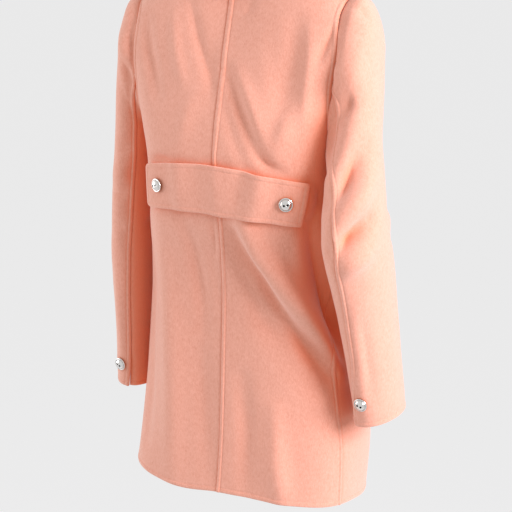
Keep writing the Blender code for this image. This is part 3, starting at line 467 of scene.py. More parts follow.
# Light from the picture's right and above, soft fill from its left: name, place, size, power
# and colour
LIGHTS = (
    ("key_light", (-2.45, 0.34, 0.62), 1.2, 114.0, (0.96, 0.94, 1.0)),
    ("fill_light", (2.4, 0.8, -0.2), 1.8, 28.0, (1.0, 0.97, 0.98)),
)
LIGHT_TARGET = (0.0, 0.0, -0.35)
CAMERA_PLACE = (-0.9994, 1.7266, 0.1406)
CAMERA_AZIMUTH = 210.0
CAMERA_ELEVATION = 15.0
CAMERA_LENS = 99.84
SENSOR = 36.0


def pchip(stations, values, at):
    """Shape-keeping cubic through a table: no overshoot between its rows."""
    x = np.asarray(stations, float)
    y = np.asarray(values, float)
    step = np.diff(x)
    slope = np.diff(y, axis=0) / step[:, None]
    tangent = np.zeros_like(y)
    tangent[0] = slope[0]
    tangent[-1] = slope[-1]
    before = step[:-1, None]
    after = step[1:, None]
    weight_a = 2 * after + before
    weight_b = after + 2 * before
    same = slope[:-1] * slope[1:] > 0
    safe_a = np.where(same, slope[:-1], 1.0)
    safe_b = np.where(same, slope[1:], 1.0)
    mean = (weight_a + weight_b) / (weight_a / safe_a + weight_b / safe_b)
    tangent[1:-1] = np.where(same, mean, 0.0)
    at = np.clip(np.asarray(at, float), x[0], x[-1])
    i = np.clip(np.searchsorted(x, at, side="right") - 1, 0, len(x) - 2)
    h = step[i]
    t = (at - x[i]) / h
    t = t[..., None]
    h = h[..., None]
    near = (1 + 2 * t) * (1 - t) ** 2 * y[i] + t * (1 - t) ** 2 * h * tangent[i]
    far = t**2 * (3 - 2 * t) * y[i + 1] + t**2 * (t - 1) * h * tangent[i + 1]
    return near + far


def table_at(columns, table, at):
    """Every named column of a table, at these values of its first column."""
    rows = np.array(table)
    values = pchip(rows[:, 0], rows, at)
    return dict(zip(columns, np.moveaxis(values, -1, 0)))


def smooth(value):
    value = np.clip(value, 0.0, 1.0)
    return value * value * (3 - 2 * value)


def fold_height(angle, level):
    """Sum of the large folds at these places on the body."""
    total = np.zeros_like(level)
    across = np.radians(angle) * FOLD_RADIUS
    for row in FOLDS:
        fold = dict(zip(FOLD_COLUMNS, row))
        start = np.array((math.radians(fold["angle_a"]) * FOLD_RADIUS, fold["level_a"]))
        end = np.array((math.radians(fold["angle_b"]) * FOLD_RADIUS, fold["level_b"]))
        length = float(np.hypot(*(end - start)))
        along = (end - start) / length
        x = across - start[0]
        y = level - start[1]
        t = (x * along[0] + y * along[1]) / length
        side = (x * along[1] - y * along[0]) / fold["half_width"]
        beyond = np.maximum(np.maximum(-t, t - 1), 0) * length / fold["half_width"]
        bulge = np.sin(math.pi * np.clip(t, 0, 1))
        swell = FOLD_END_SHARE + (1 - FOLD_END_SHARE) * bulge
        total += fold["height"] * swell * np.exp(-(side**2) - beyond**2)
    return total


def body_point(angle, level):
    """A point of the coat's outer face: angle from the centre back, + to the wearer's left."""
    angle, level = np.broadcast_arrays(np.asarray(angle, float), np.asarray(level, float))
    row = table_at(SECTION_COLUMNS, SECTIONS, level)
    sine = np.sin(np.radians(angle))
    cosine = np.cos(np.radians(angle))
    half = np.where(sine > 0, row["left"], row["right"])
    depth = np.where(cosine > 0, row["back"], row["front"])
    power = np.where(cosine > 0, row["back_power"], row["front_power"])
    radius = (np.abs(sine) / half) ** power + (np.abs(cosine) / depth) ** power
    radius = radius ** (-1 / power)
    wrapped = (angle + 180) % 360 - 180
    shown = smooth((level - FOLD_FROM_LEVEL) / FOLD_FADE)
    radius = radius + shown * fold_height(wrapped, level)
    z = row["z_side"]
    z = z + (row["z_back"] - row["z_side"]) * np.maximum(cosine, 0) ** 2
    z = z + (row["z_front"] - row["z_side"]) * np.maximum(-cosine, 0) ** 2
    low = np.clip((level - HEM_FROM_LEVEL) / (SECTIONS[-1][0] - HEM_FROM_LEVEL), 0, 1)
    z = z - table_at(HEM_COLUMNS, HEM_DROP, wrapped)["drop"] * low**2
    x = row["x_mid"] + radius * sine
    y = radius * cosine
    return np.stack([x, y, z + row["tilt"] * x], axis=-1)


def body_frame(angle, level):
    """Point of the outer face with its outward direction and its downward direction."""
    point = body_point(angle, level)
    across = body_point(angle + 0.5, level) - body_point(angle - 0.5, level)
    down = body_point(angle, level + 0.002) - body_point(angle, level - 0.002)
    normal = np.cross(across, down)
    normal /= np.linalg.norm(normal, axis=-1, keepdims=True)
    down /= np.linalg.norm(down, axis=-1, keepdims=True)
    return point, normal, down


def lap_rise(angle):
    """How far the upper front lies out over the under front."""
    past = np.abs(angle) - (180 - LAP_HALF_ANGLE - LAP_RAMP)
    return LAP_RISE * smooth(past / LAP_RAMP)


def side_edge(level, name):
    """Angle of a panel's outer edge: shoulder seam, then armhole, then side seam."""
    level = np.asarray(level, float)
    hole = table_at(ARMHOLE_COLUMNS, ARMHOLE, level)[name]
    seam = table_at(SIDE_SEAM_COLUMNS, SIDE_SEAM, level)["angle"]
    edge = np.where(level < ARMHOLE[0][0], SHOULDER_SEAM_ANGLE, hole)
    return np.where(level > ARMHOLE[-1][0], seam, edge)


def armhole_loop(side):
    """Points round the armhole from its top down the back, under the arm and up the front."""
    rows = np.array(ARMHOLE)
    back = body_point(side * rows[:, 1], rows[:, 0])
    front = body_point(side * rows[:, 2], rows[:, 0])
    return np.concatenate([back, front[-2:0:-1]])


def sleeve_grid(side, table):
    """Points of the sleeve's outer face, a row a section from the armhole seam to the cuff."""
    loop = armhole_loop(side)
    count = len(loop)
    half = count // 2
    steps = np.linalg.norm(np.roll(loop, -1, axis=0) - loop, axis=1)
    along = np.concatenate([[0.0], np.cumsum(steps)])
    back = along[: half + 1] / along[half] * 180
    front = 180 + (along[half:count] - along[half]) / (along[count] - along[half]) * 180
    turn_of = np.concatenate([back, front[1:]])
    top = loop[0]
    bottom = loop[half]
    depth = loop[:, 1]
    seam_row = (
        abs(top[0]), top[2], abs(bottom[0]), bottom[2], depth.mean(),
        depth.max() - depth.mean(), depth.mean() - depth.min(), 0.0, 0.0,
    )
    grid = []
    for index, values in enumerate((seam_row,) + tuple(table)):
        row = dict(zip(SLEEVE_COLUMNS, values))
        t = np.radians(turn_of + row["turn"])
        swing = np.cos(t)
        fore = np.sin(t)
        x = row["x_in"] + (row["x_out"] - row["x_in"]) * (1 + swing) / 2
        z = row["z_in"] + (row["z_out"] - row["z_in"]) * (1 + swing) / 2
        z = z - row["rise"] * fore
        y = row["y_mid"] + np.where(fore > 0, row["back"], row["front"]) * fore
        ring = np.stack([side * x, y, z], axis=-1)
        if index == 0:
            shape = loop - ring
            ring = loop + np.array((side * ARMHOLE_GAP, 0, 0))
        elif index <= len(SLEEVE_SEAM_BLEND):
            ring = ring + shape * SLEEVE_SEAM_BLEND[index - 1]
        grid.append(ring)
    return np.array(grid)


def catmull(a, b, c, d, t):
    """A smooth curve from b to c, with a and d as the points before and after them."""
    out = 2 * b + (c - a) * t + (2 * a - 5 * b + 4 * c - d) * t**2
    return 0.5 * (out + (3 * b - a - 3 * c + d) * t**3)


def round_at(grid, column):
    """Points between two columns of a closed grid, on a smooth curve round each row."""
    count = grid.shape[1]
    low = np.floor(column).astype(int)
    t = (column - low)[:, None]
    row = np.arange(len(grid))
    a, b, c, d = (grid[row, (low + k) % count] for k in (-1, 0, 1, 2))
    return catmull(a, b, c, d, t)


def belt_middle(angle):
    """Level of the belt's middle line: its ends hang, and it rises to the wearer's left."""
    part = angle / BELT_HALF_ANGLE
    return BELT_LEVEL + BELT_DROOP * part**2 - BELT_SLANT * part


def curve_points(controls, steps=7):
    """A smooth line through a few control points."""
    controls = np.array(controls, float)
    if len(controls) == 2:
        share = np.linspace(0, 1, 2 * steps)[:, None]
        return controls[0] + (controls[1] - controls[0]) * share
    ends = (2 * controls[0] - controls[1], 2 * controls[-1] - controls[-2])
    p = np.concatenate([ends[0][None], controls, ends[1][None]])
    out = []
    for i in range(1, len(p) - 2):
        for t in np.linspace(0, 1, steps, endpoint=False):
            out.append(catmull(p[i - 1], p[i], p[i + 1], p[i + 2], t))
    out.append(p[-2])
    return np.array(out)


def line_distance(points, line):
    """Distance of each point from a polyline, and the share of the line's length there."""
    flat = points.reshape(-1, 3)
    best = np.full(len(flat), FAR_AWAY)
    share = np.zeros(len(flat))
    steps = np.linalg.norm(np.diff(line, axis=0), axis=1)
    before = np.concatenate([[0.0], np.cumsum(steps)])
    for k, length in enumerate(steps):
        if length < NO_LENGTH:
            continue
        along = (line[k + 1] - line[k]) / length
        away = flat - line[k]
        t = np.clip(away @ along, 0, length)
        d = np.linalg.norm(away - t[:, None] * along, axis=1)
        nearer = d < best
        best = np.where(nearer, d, best)
        share = np.where(nearer, (before[k] + t) / before[-1], share)
    return best.reshape(points.shape[:-1]), share.reshape(points.shape[:-1])


def distance(points, line):
    """Distance of each point from a polyline."""
    return line_distance(points, line)[0]


def bell(value):
    return np.exp(-(value**2))


def read_folds(folds):
    """Each fold's half width and height in metres, and points along it in the table's units."""
    return [(width / MM, height / MM, curve_points(controls)) for width, height, *controls in folds]


def fold_relief(points, folds):
    """Sum of the folds: each a (half width, height, line) that swells in the middle."""
    total = np.zeros(points.shape[:-1])
    flat = points.reshape(-1, 3)
    sums = total.reshape(-1)
    for width, height, line in folds:
        margin = 3 * width
        low, high = line.min(axis=0) - margin, line.max(axis=0) + margin
        inside = np.all((flat > low) & (flat < high), axis=1)
        if not inside.any():
            continue
        d, share = line_distance(flat[inside], line)
        swell = SWELL_END + (1 - SWELL_END) * np.sin(math.pi * np.clip(share, 0, 1))
        sharp = CREASE_SHARE if height < 0 and width < CREASE_WIDTH else 0.0
        shape = (1 - sharp) * bell(d / width) + sharp * np.exp(-CREASE_FALL * d / width)
        sums[inside] += height * swell * shape
    return total


def strip_relief(d, width, rise=STRIP_RISE):
    """A lapped seam strip of this width beside its edge, with a sunk stitch line behind it."""
    across = np.clip(d / width, 0, 1.5)
    pillow = rise * np.clip(1 - np.abs(2 * across - 1) ** 3, 0, 1)
    tail = rise * 0.25 * np.exp(-np.maximum(d - width, 0) / STRIP_TAIL)
    stitch = -STITCH_DEPTH * bell((d - width) / STITCH_WIDTH)
    return pillow + tail * smooth(d / width) + stitch


def stitched(d, at, depth=EDGE_STITCH):
    """A turned edge: sunk along its stitch line, slightly full outside it."""
    full = EDGE_FULL * np.clip(1 - np.abs(2 * d / at - 1) ** 3, 0, 1)
    return full - depth * bell((d - at) / STITCH_WIDTH)


def low_side(d):
    """The lower cloth beside a seam strip."""
    return -LOW_DEPTH * bell(d / LOW_WIDTH)


def edge_fall(d):
    """How far a rounded cut edge drops towards its border."""
    share = np.clip(1 - d / EDGE_ROUND, 0, 1)
    return -EDGE_ROUND * (1 - np.sqrt(np.clip(1 - share**2, 0, 1)))


def grid_normals(points, outward):
    """Unit directions square to a grid of points, on its outward side."""
    across = np.gradient(points, axis=1)
    down = np.gradient(points, axis=0)
    normal = np.cross(across, down)
    length = np.linalg.norm(normal, axis=-1, keepdims=True)
    normal = np.where(length > 1e-12, normal / np.maximum(length, 1e-12), outward)
    sign = np.sign((normal * outward).sum(axis=-1, keepdims=True))
    return normal * np.where(sign == 0, 1, sign)


def shell(node, surface, normal, relief, thickness, material):
    """A closed sheet of cloth: its outer face is the surface with this relief."""
    name = node + "_cloth"
    outer = surface + normal * relief[..., None]
    rows, columns = outer.shape[:2]
    normal = grid_normals(outer, normal)
    border = np.zeros((rows, columns))
    border[0] = border[-1] = 1
    border[:, 0] = border[:, -1] = 1
    depth = thickness - BORDER_THINNER * border
    inner = outer - normal * depth[..., None]
    verts = np.concatenate([outer.reshape(-1, 3), inner.reshape(-1, 3)])
    index = np.arange(rows * columns).reshape(rows, columns)
    corners = index[:-1, :-1], index[:-1, 1:], index[1:, 1:], index[1:, :-1]
    front = np.stack([corner.ravel() for corner in corners], axis=1)
    rim = np.concatenate([index[0], index[1:, -1], index[-1, -2::-1], index[-2:0:-1, 0]])
    following = np.roll(rim, -1)
    shift = rows * columns
    wall = np.stack([following, rim, rim + shift, following + shift], axis=1)
    i, j = rows // 2, columns // 2
    facing = np.cross(outer[i, j + 1] - outer[i, j], outer[i + 1, j] - outer[i, j])
    order = -1 if facing @ normal[i, j] < 0 else 1
    front = front[:, ::order]
    faces = np.concatenate([front, front[:, ::-1] + shift, wall[:, ::order]]).astype(np.int32)
    mesh = bpy.data.meshes.new(name)
    mesh.vertices.add(len(verts))
    mesh.vertices.foreach_set("co", verts.astype(np.float32).ravel())
    mesh.loops.add(faces.size)
    mesh.loops.foreach_set("vertex_index", faces.ravel())
    mesh.polygons.add(len(faces))
    mesh.polygons.foreach_set("loop_start", np.arange(0, faces.size, 4, dtype=np.int32))
    mesh.polygons.foreach_set("use_smooth", np.ones(len(faces), bool))
    mesh.update(calc_edges=True)
    mesh.validate()
    mesh.materials.append(material)
    piece = new_object(name, mesh)
    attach(piece, "root")
    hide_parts(node)
    long_way = outer[1:, 1:] - outer[:-1, :-1]
    short_way = outer[1:, :-1] - outer[:-1, 1:]
    area = 0.5 * np.linalg.norm(np.cross(long_way, short_way), axis=-1).sum()
    return piece, float(area)


def spaced(spans):
    """Places from span to span, each span with its own step between them, and the last end."""
    places = []
    for low, high, gap in spans:
        places.extend(np.linspace(low, high, max(2, round((high - low) / gap)), endpoint=False))
    return np.array(places + [spans[-1][1]])


def row_levels(step):
    """Levels down a panel, closer together at the armhole's ends and at the hem."""
    return spaced((
        (0.0, 0.058, step), (0.058, 0.084, 0.0013), (0.084, 0.186, step), (0.186, 0.222, 0.0016),
        (0.222, 0.718, step), (0.718, 0.7345, 0.0012), (0.7345, HEM_LEVEL, 0.0005),
    ))


def spread(start, end, steps_start, steps_end, count):
    """Columns from one edge to the other: close by both edges, even between them."""
    first = start[:, None] + steps_start
    last = (end[:, None] + steps_end)[:, ::-1]
    share = np.linspace(0, 1, count + 2)[1:-1]
    middle = first[:, -1:] + (last[:, :1] - first[:, -1:]) * share
    return np.concatenate([first, middle, last], axis=1)


def body_lines():
    """The body's folds in metres, laid on its surface."""
    return [
        (width, height, body_point(line[:, 0], line[:, 1] / MM))
        for width, height, line in read_folds(BODY_FOLDS)
    ]


BODY_LINES = body_lines()


def body_relief(points, level):
    """Folds of the body, fading in below the neck seam."""
    cover = smooth((level - COVER_FROM) / COVER_OVER)
    return fold_relief(points, BODY_LINES) * cover * BODY_FOLD_GAIN


def armhole_line(side):
    loop = armhole_loop(side)
    return curve_points(np.concatenate([loop, loop[:1]]), 6)


def side_line(side, start, end):
    levels = np.linspace(start, end, 60)
    return body_point(side * side_edge(levels, "back_edge"), levels)


def centre_line():
    """Levels and angles along the centre back seam."""
    rows = np.array(CENTRE_SEAM)
    levels = np.linspace(0, HEM_LEVEL, 90)
    shift = pchip(rows[:, 0], rows[:, 1:], levels)[:, 0]
    return levels, np.degrees(shift / np.abs(body_point(0.0, levels)[:, 1]))


def body_seams(points, side, which):
    """Relief of the seams that border a panel."""
    hole = distance(points, armhole_line(side))
    seam = distance(points, side_line(side, ARMHOLE[-1][0], HEM_LEVEL))
    top = distance(points, side_line(side, 0.0, ARMHOLE[0][0]))
    relief = strip_relief(hole, ARMHOLE_STRIP)
    if which == "back":
        relief = relief + strip_relief(seam, SIDE_STRIP, SIDE_RISE)
        relief = relief + strip_relief(top, SIDE_STRIP, SIDE_RISE)
    else:
        relief = relief + low_side(seam) + low_side(top)
    return relief + 0.5 * edge_fall(hole) + edge_fall(np.minimum(seam, top))


def hem_relief(points):
    d = distance(points, points[-1])
    return stitched(d, HEM_STITCH) + edge_fall(d)


def under_belt(angle, level):
    """1 where the belt lies on the panel: seams are pressed flat there."""
    off = np.abs(level - belt_middle(angle)) - BELT_HALF_HEIGHT
    past = (np.abs(angle) - BELT_HALF_ANGLE) * math.radians(1) * BELT_RADIUS
    return 1 - smooth((np.maximum(off, past) + 0.006) / 0.008)


def belt_press(angle, level):
    """The cloth dips a little along the belt's edges."""
    off = np.abs(np.abs(level - belt_middle(angle)) - BELT_HALF_HEIGHT - 0.002)
    inside = smooth((BELT_HALF_ANGLE + 4 - np.abs(angle)) / 8)
    return -0.0009 * bell(off / 0.006) * inside


def panel_edge(side, levels, name):
    """A panel's outer edge: its angles, and there the degrees in a metre round the body."""
    edge = side_edge(levels, name)
    place = body_point(side * edge, levels)
    return edge, np.degrees(1 / np.hypot(place[:, 0], place[:, 1]))[:, None]


def panel_grid(side, levels, angle):
    """Levels, points and outward directions of a panel's grid."""
    level = levels[:, None] * np.ones_like(angle)
    points, normal, _ = body_frame(side * angle, level)
    return level, points, normal


def back_cloth(word, side, material):
    levels = row_levels(BACK_STEP)
    edge, per_metre = panel_edge(side, levels, "back_edge")
    line_levels, line_angles = centre_line()
    middle = np.interp(levels, line_levels, line_angles) * side
    per_back = np.degrees(1 / np.abs(body_point(0.0, levels)[:, 1]))[:, None]
    angle = spread(edge, middle, -EDGE * per_metre, EDGE * per_back, BACK_COLUMNS)
    level, points, normal = panel_grid(side, levels, angle)
    d = distance(points, body_point(line_angles, line_levels))
    wide = BACK_STRIP + BACK_STRIP_TOP * smooth((0.25 - level) / 0.05)
    seam = strip_relief(d, wide) if side < 0 else low_side(d)
    relief = body_relief(points, level) + belt_press(side * angle, level)
    relief = relief + seam * (1 - under_belt(side * angle, level))
    relief = relief + edge_fall(d) + body_seams(points, side, "back") + hem_relief(points)
    return shell("back_" + word, points, normal, relief, CLOTH, material)


def front_cloth(word, side, upper, material):
    levels = row_levels(FRONT_STEP)
    edge, per_metre = panel_edge(side, levels, "front_edge")
    end = np.full(len(levels), 180 + LAP_HALF_ANGLE)
    per_front = np.degrees(1 / FRONT_DEPTH)
    angle = spread(edge, end, EDGE * per_metre, -EDGE * per_front, FRONT_COLUMNS)
    level, points, normal = panel_grid(side, levels, angle)
    d = distance(points, points[:, -1])
    relief = body_relief(points, level) + stitched(d, FRONT_STITCH) + edge_fall(d)
    relief = relief + body_seams(points, side, "front") + hem_relief(points)
    if upper:
        relief = relief + lap_rise(np.minimum(angle, 180.0))
    return shell("front_" + word, points, normal, relief, CLOTH, material)


class Sleeve:
    """The smooth outer surface of one sleeve, by column round it and row down it."""

    def __init__(self, side, table):
        self.side = side
        self.grid = sleeve_grid(side, table)
        steps = np.linalg.norm(np.diff(self.grid, axis=0), axis=2).mean(axis=1)
        self.run = np.concatenate([[0.0], np.cumsum(steps)])
        self.count = self.grid.shape[1]

    def metres(self, row):
        return np.interp(row, np.arange(len(self.run)), self.run)

    def rows_at(self, run):
        return np.interp(run, self.run, np.arange(len(self.run)))

    def per_metre(self, column, run):
        """Columns in a metre of cloth round the arm."""
        reach = 0.2
        step = self.at(column + reach, run) - self.at(column - reach, run)
        return (2 * reach / np.linalg.norm(step, axis=1))[:, None]

    def rings(self, run):
        flat = self.grid.reshape(len(self.grid), -1)
        return pchip(self.run, flat, run).reshape(len(run), self.count, 3)

    def at(self, column, run):
        """Points for matching arrays of columns and runs (metres below the armhole seam)."""
        column, run = np.broadcast_arrays(np.asarray(column, float), np.asarray(run, float))
        rings = self.rings(run.ravel())
        return round_at(rings, column.ravel()).reshape(column.shape + (3,))

    def frame(self, column, run):
        point = self.at(column, run)
        around = self.at(column + 0.08, run) - self.at(column - 0.08, run)
        down = self.at(column, run + 0.002) - self.at(column, run - 0.002)
        normal = np.cross(around, down)
        normal /= np.linalg.norm(normal, axis=-1, keepdims=True)
        middle = self.rings(run.ravel()).mean(axis=1).reshape(point.shape)
        normal = normal * np.sign(((point - middle) * normal).sum(axis=-1, keepdims=True))
        down = down / np.linalg.norm(down, axis=-1, keepdims=True)
        return point, normal, down


def sleeve_relief(sleeve, word, points, column, ease=1.0):
    """Folds of a sleeve with the full cap above them."""
    lines = [
        (width, height, sleeve.at(line[:, 0], sleeve.metres(line[:, 1])))
        for width, height, line in read_folds(SLEEVE_FOLDS[word])
    ]
    relief = fold_relief(points, lines) * SLEEVE_FOLD_GAIN * ease
    cap = distance(points, armhole_line(sleeve.side))
    top = (1 + np.cos(np.radians(column * 360 / sleeve.count))) / 2
    puff = CAP_PUFF * bell((cap - CAP_PUFF_AT) / CAP_PUFF_WIDTH)
    sink = -CAP_SINK * bell(cap / CAP_SINK_WIDTH)
    return relief + puff * top + sink + 0.5 * edge_fall(cap)


def sleeve_cloth(word, side, table, upper, material):
    sleeve = Sleeve(side, table)
    total = sleeve.run[-1]
    runs = spaced((
        (0, 0.016, 0.0011), (0.016, 0.27, 0.0036), (0.27, 0.36, 0.0026),
        (0.36, total - 0.012, 0.0036), (total - 0.012, total, 0.001),
    ))
    seam_rows = np.array(SLEEVE_SEAM[word])
    seam = pchip(seam_rows[:, 0], seam_rows[:, 1:], sleeve.rows_at(runs))[:, 0]
    fore = np.full(len(runs), float(sleeve.count - SLEEVE_FRONT_SEAM))
    per, per_fore = sleeve.per_metre(seam, runs), sleeve.per_metre(fore, runs)
    if upper:
        column = spread(fore - sleeve.count, seam, EDGE * per_fore, -EDGE * per, UPPER_COLUMNS)
    else:
        column = spread(seam, fore, EDGE * per, -EDGE * per_fore, UNDER_COLUMNS)
    run = runs[:, None] * np.ones_like(column)
    if upper:
        radius = CUFF_CORNER[word]
        off = np.clip((seam[:, None] - column) / per, 0, radius)
        rise = radius - np.sqrt(np.clip(radius**2 - (radius - off) ** 2, 0, None))
        run = run - rise * smooth((run - total + 0.04) / 0.04)
    points, normal, _ = sleeve.frame(column, run)
    d = distance(points, sleeve.at(seam, runs))
    e = distance(points, sleeve.at(fore, runs))
    cuff = distance(points, points[-1])
    calm = SEAM_CALM + (1 - SEAM_CALM) * smooth(d / 0.02)
    relief = sleeve_relief(sleeve, word, points, column, calm)
    past = smooth((run - (total - VENT[word])) / 0.03)
    if upper:
        relief = relief + strip_relief(d, SLEEVE_SEAM_STRIP) * (1 - 0.4 * past)
        relief = relief + VENT_LAP * past * bell(d / 0.016) + strip_relief(e, SLEEVE_SEAM_STRIP, 0.001)
    else:
        relief = relief + low_side(d) - VENT_SINK * past * bell(d / 0.006) + low_side(e)
    relief = relief + edge_fall(np.minimum(d, e)) + stitched(cuff, HEM_STITCH, 0.0003) + edge_fall(cuff)
    node = ("upper" if upper else "under") + "_sleeve_" + word
    return shell(node, points, normal, relief, CLOTH, material)


def collar_rows(angles, away):
    """The collar row by row: up the stand, round the turn and down the fall, with its shares."""
    up = np.array((0.0, 0.0, 1.0))
    seam, seam_out, _ = body_frame(angles, 0.0)
    base = seam + seam_out * lap_rise(angles)[:, None]
    size = table_at(COLLAR_COLUMNS, COLLAR, np.abs(angles))
    stand = size["stand"][:, None]
    edge, normal, _ = body_frame(angles, size["reach"])
    over_front = smooth((np.abs(angles) - COLLAR_FRONT_ANGLE) / COLLAR_FRONT_RAMP)
    lift = COLLAR_LIFT + CLOTH + (LAP_RISE + COLLAR_FRONT_CLEAR) * over_front
    edge = edge + normal * lift[:, None]
    rows = []
    for share in np.linspace(0, 1, STAND_ROWS):
        rows.append(base + up * (stand * share) + away * (COLLAR_LEAN * share))
    top = rows[-1]
    radius = COLLAR_TURN / 2
    for turn in np.radians(np.linspace(0, 180, 17)[1:-1]):
        shift = away * (radius * (1 - math.cos(turn)))
        rows.append(top + shift + up * (radius * math.sin(turn)))
    start = top + away * COLLAR_TURN
    rows.append(start)
    pull = start - up * (stand * COLLAR_PULL_SHARE) + away * COLLAR_ROLL
    even, close = np.linspace(0, 0.72, 16)[1:], np.linspace(0.74, 0.985, 15)
    shares = np.concatenate([even, close, [0.992, 0.997, 1.0]])
    for share in shares:
        near = start + (pull - start) * share
        far = pull + (edge - pull) * share
        rows.append(near + (far - near) * share)
    return np.array(rows), np.concatenate([np.zeros(len(rows) - len(shares)), shares])[:, None]


def collar_cloth(material):
    """Stand, turn and fall; soft waves along the fall."""
    by_end = COLLAR_END_ANGLE - EDGE * 500
    angles = np.concatenate([-by_end, np.linspace(-161, 161, 150), by_end[::-1]])
    ring = np.radians(angles)
    away = np.stack([np.sin(ring), np.cos(ring), np.zeros(len(ring))], axis=-1)
    points, share = collar_rows(angles, away)
    wave = np.sin(3 * ring + 0.7) * 0.0012 + np.sin(7 * ring + 2.1) * 0.0006
    fall = (share > 0).astype(float)
    outward = np.broadcast_to(away, points.shape).copy()
    outward[:STAND_ROWS] *= -1
    outward[..., 2] += 0.4 * fall
    normal = grid_normals(points, outward)
    ends = np.minimum(distance(points, points[:, 0]), distance(points, points[:, -1]))
    near = np.minimum(distance(points, points[-1]), ends)
    relief = stitched(near, FRONT_STITCH) + np.maximum(wave, -0.0006) * smooth(share * 1.4)
    return shell("collar", points, normal, relief * fall + edge_fall(near), CLOTH, material)


def belt_end_rise(angle):
    """The belt's left end stands out from the back."""
    return 0.003 * smooth((angle - 42) / 18)


def belt_cloth(material):
    """The strap across the back: the panels' surface moved out, with a stitched border."""
    reach = math.radians(BELT_HALF_ANGLE) * BELT_RADIUS
    ends = reach - EDGE
    along = np.concatenate([-ends, np.linspace(-ends[-1], ends[-1], 96)[1:-1], ends[::-1]])
    corner = np.where(along > 0, BELT_CORNERS["left"], BELT_CORNERS["right"])
    part = np.abs(along) / reach
    half = BELT_HALF_HEIGHT + (BELT_END_HALF_HEIGHT - BELT_HALF_HEIGHT) * part**2
    past = np.clip((np.abs(along) - (reach - corner)) / corner, 0, 1)
    half = half - corner * (1 - np.sqrt(1 - past**2))
    by_edge = 1 - EDGE / BELT_HALF_HEIGHT
    across = np.concatenate([-by_edge, np.linspace(-by_edge[-1], by_edge[-1], 12)[1:-1], by_edge[::-1]])
    across = across[:, None]
    angle = np.degrees(along / BELT_RADIUS)[None, :]
    level = belt_middle(angle) + half * across
    level = level - BELT_TAPER * np.maximum(across, 0) * smooth((-angle - 5) / 40)
    slant = -1.7 * across * smooth((-angle - 30) / 30)
    draw_in = -4.0 * smooth((angle - 30) / 30)
    angle = angle - slant + draw_in
    point, normal, _ = body_frame(angle, level)
    d = distance(point, np.concatenate([point[0], point[1:, -1], point[-1, ::-1], point[::-1, 0]]))
    relief = body_relief(point, level) * BELT_FOLD_SHARE
    relief = relief + belt_end_rise(angle) + 0.0008 * smooth((-angle - 46) / 16)
    for width, height, turn, lean in BELT_WAVES:
        relief = relief + height * bell((angle - turn - lean * across) / width)
    for turn in BELT_BUTTON_ANGLES.values():
        seat = body_point(turn, belt_middle(np.array((turn - 0.1, turn + 0.1))))
        relief = relief - BUTTON_SEAT * bell(distance(point, seat) / 0.013)
    relief = relief + stitched(d, BELT_STITCH, 0.0003) + edge_fall(d * 0.6)
    return shell("half_belt", point, normal, BELT_FACE + relief, BELT_CLOTH, material)


def new_object(name, data):
    item = bpy.data.objects.new(name, data)
    bpy.context.scene.collection.objects.link(item)
    return item


def solid_object(name, solid):
    """A scene object from a finished bmesh."""
    data = bpy.data.meshes.new(name)
    solid.to_mesh(data)
    solid.free()
    return new_object(name, data)


def stand_at(item, across, upward, outward, place):
    """Stand an item at a place, with these directions as its own axes."""
    rows = np.stack([across, upward, outward, place], axis=1).tolist()
    item.matrix_world = Matrix(rows + [(0.0, 0.0, 0.0, 1.0)])


def button_blank():
    """The button's dome and rolled rim, turned from its profile."""
    solid = bmesh.new()
    rings = []
    for radius, height in BUTTON_CURVE:
        turns = [2 * math.pi * k / BUTTON_AROUND for k in range(BUTTON_AROUND)]
        rings.append([solid.verts.new((radius * math.cos(a), radius * math.sin(a), height)) for a in turns])
    for lower, higher in zip(rings, rings[1:]):
        for k in range(BUTTON_AROUND):
            n = (k + 1) % BUTTON_AROUND
            solid.faces.new((lower[k], lower[n], higher[n], higher[k]))
    solid.faces.new(list(reversed(rings[0])))
    solid.faces.new(rings[-1])
    return solid_object("button_blank", solid)


def button_mesh(metal, painted_hole_shade):
    """A polished dome with a rolled rim and two sunk holes, their insides given a near-black material as
    painted shade.
    """
    blank = button_blank()
    tools = []
    for sign in (-1, 1):
        drill = bmesh.new()
        shape = bmesh.ops.create_cone(
            drill, cap_ends=True, segments=HOLE_AROUND, radius1=HOLE_RADIUS,
            radius2=HOLE_RADIUS, depth=DRILL_LENGTH,
        )
        middle = (sign * HOLE_SPACING, 0, HOLE_FLOOR + DRILL_LENGTH / 2)
        bmesh.ops.translate(drill, verts=shape["verts"], vec=middle)
        tool = solid_object("button_drill", drill)
        cut = blank.modifiers.new("Hole", "BOOLEAN")
        cut.operation = "DIFFERENCE"
        cut.solver = "EXACT"
        cut.object = tool
        tools.append(tool)
    bpy.context.view_layer.update()
    graph = bpy.context.evaluated_depsgraph_get()
    made = bpy.data.meshes.new_from_object(blank.evaluated_get(graph))
    made.name = "button"
    for tool in tools + [blank]:
        bpy.data.objects.remove(tool)
    made.materials.clear()
    made.materials.append(metal)
    made.materials.append(painted_hole_shade)
    # Faces inside the holes take the second, near-black material: painted shade
    for polygon in made.polygons:
        x, y, z = polygon.center
        inside = math.hypot(abs(x) - HOLE_SPACING, y) < HOLE_RADIUS * 1.03 and z < 0.0062
        polygon.material_index = 1 if inside and z > 0.0005 else 0
        polygon.use_smooth = not inside and z > 0.0002
    return made


def seated(data, node, point, normal, down, lift, turn):
    """A button on the cloth: lifted off the surface and turned about its own axis."""
    normal = np.asarray(normal) / np.linalg.norm(normal)
    across = np.cross(down, normal)
    across /= np.linalg.norm(across)
    upward = np.cross(normal, across)
    c, s = math.cos(math.radians(turn)), math.sin(math.radians(turn))
    button = new_object(node + "_dome", data)
    place = np.asarray(point) + normal * lift
    stand_at(button, across * c + upward * s, upward * c - across * s, normal, place)
    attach(button, "root")
    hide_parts(node)
    return button


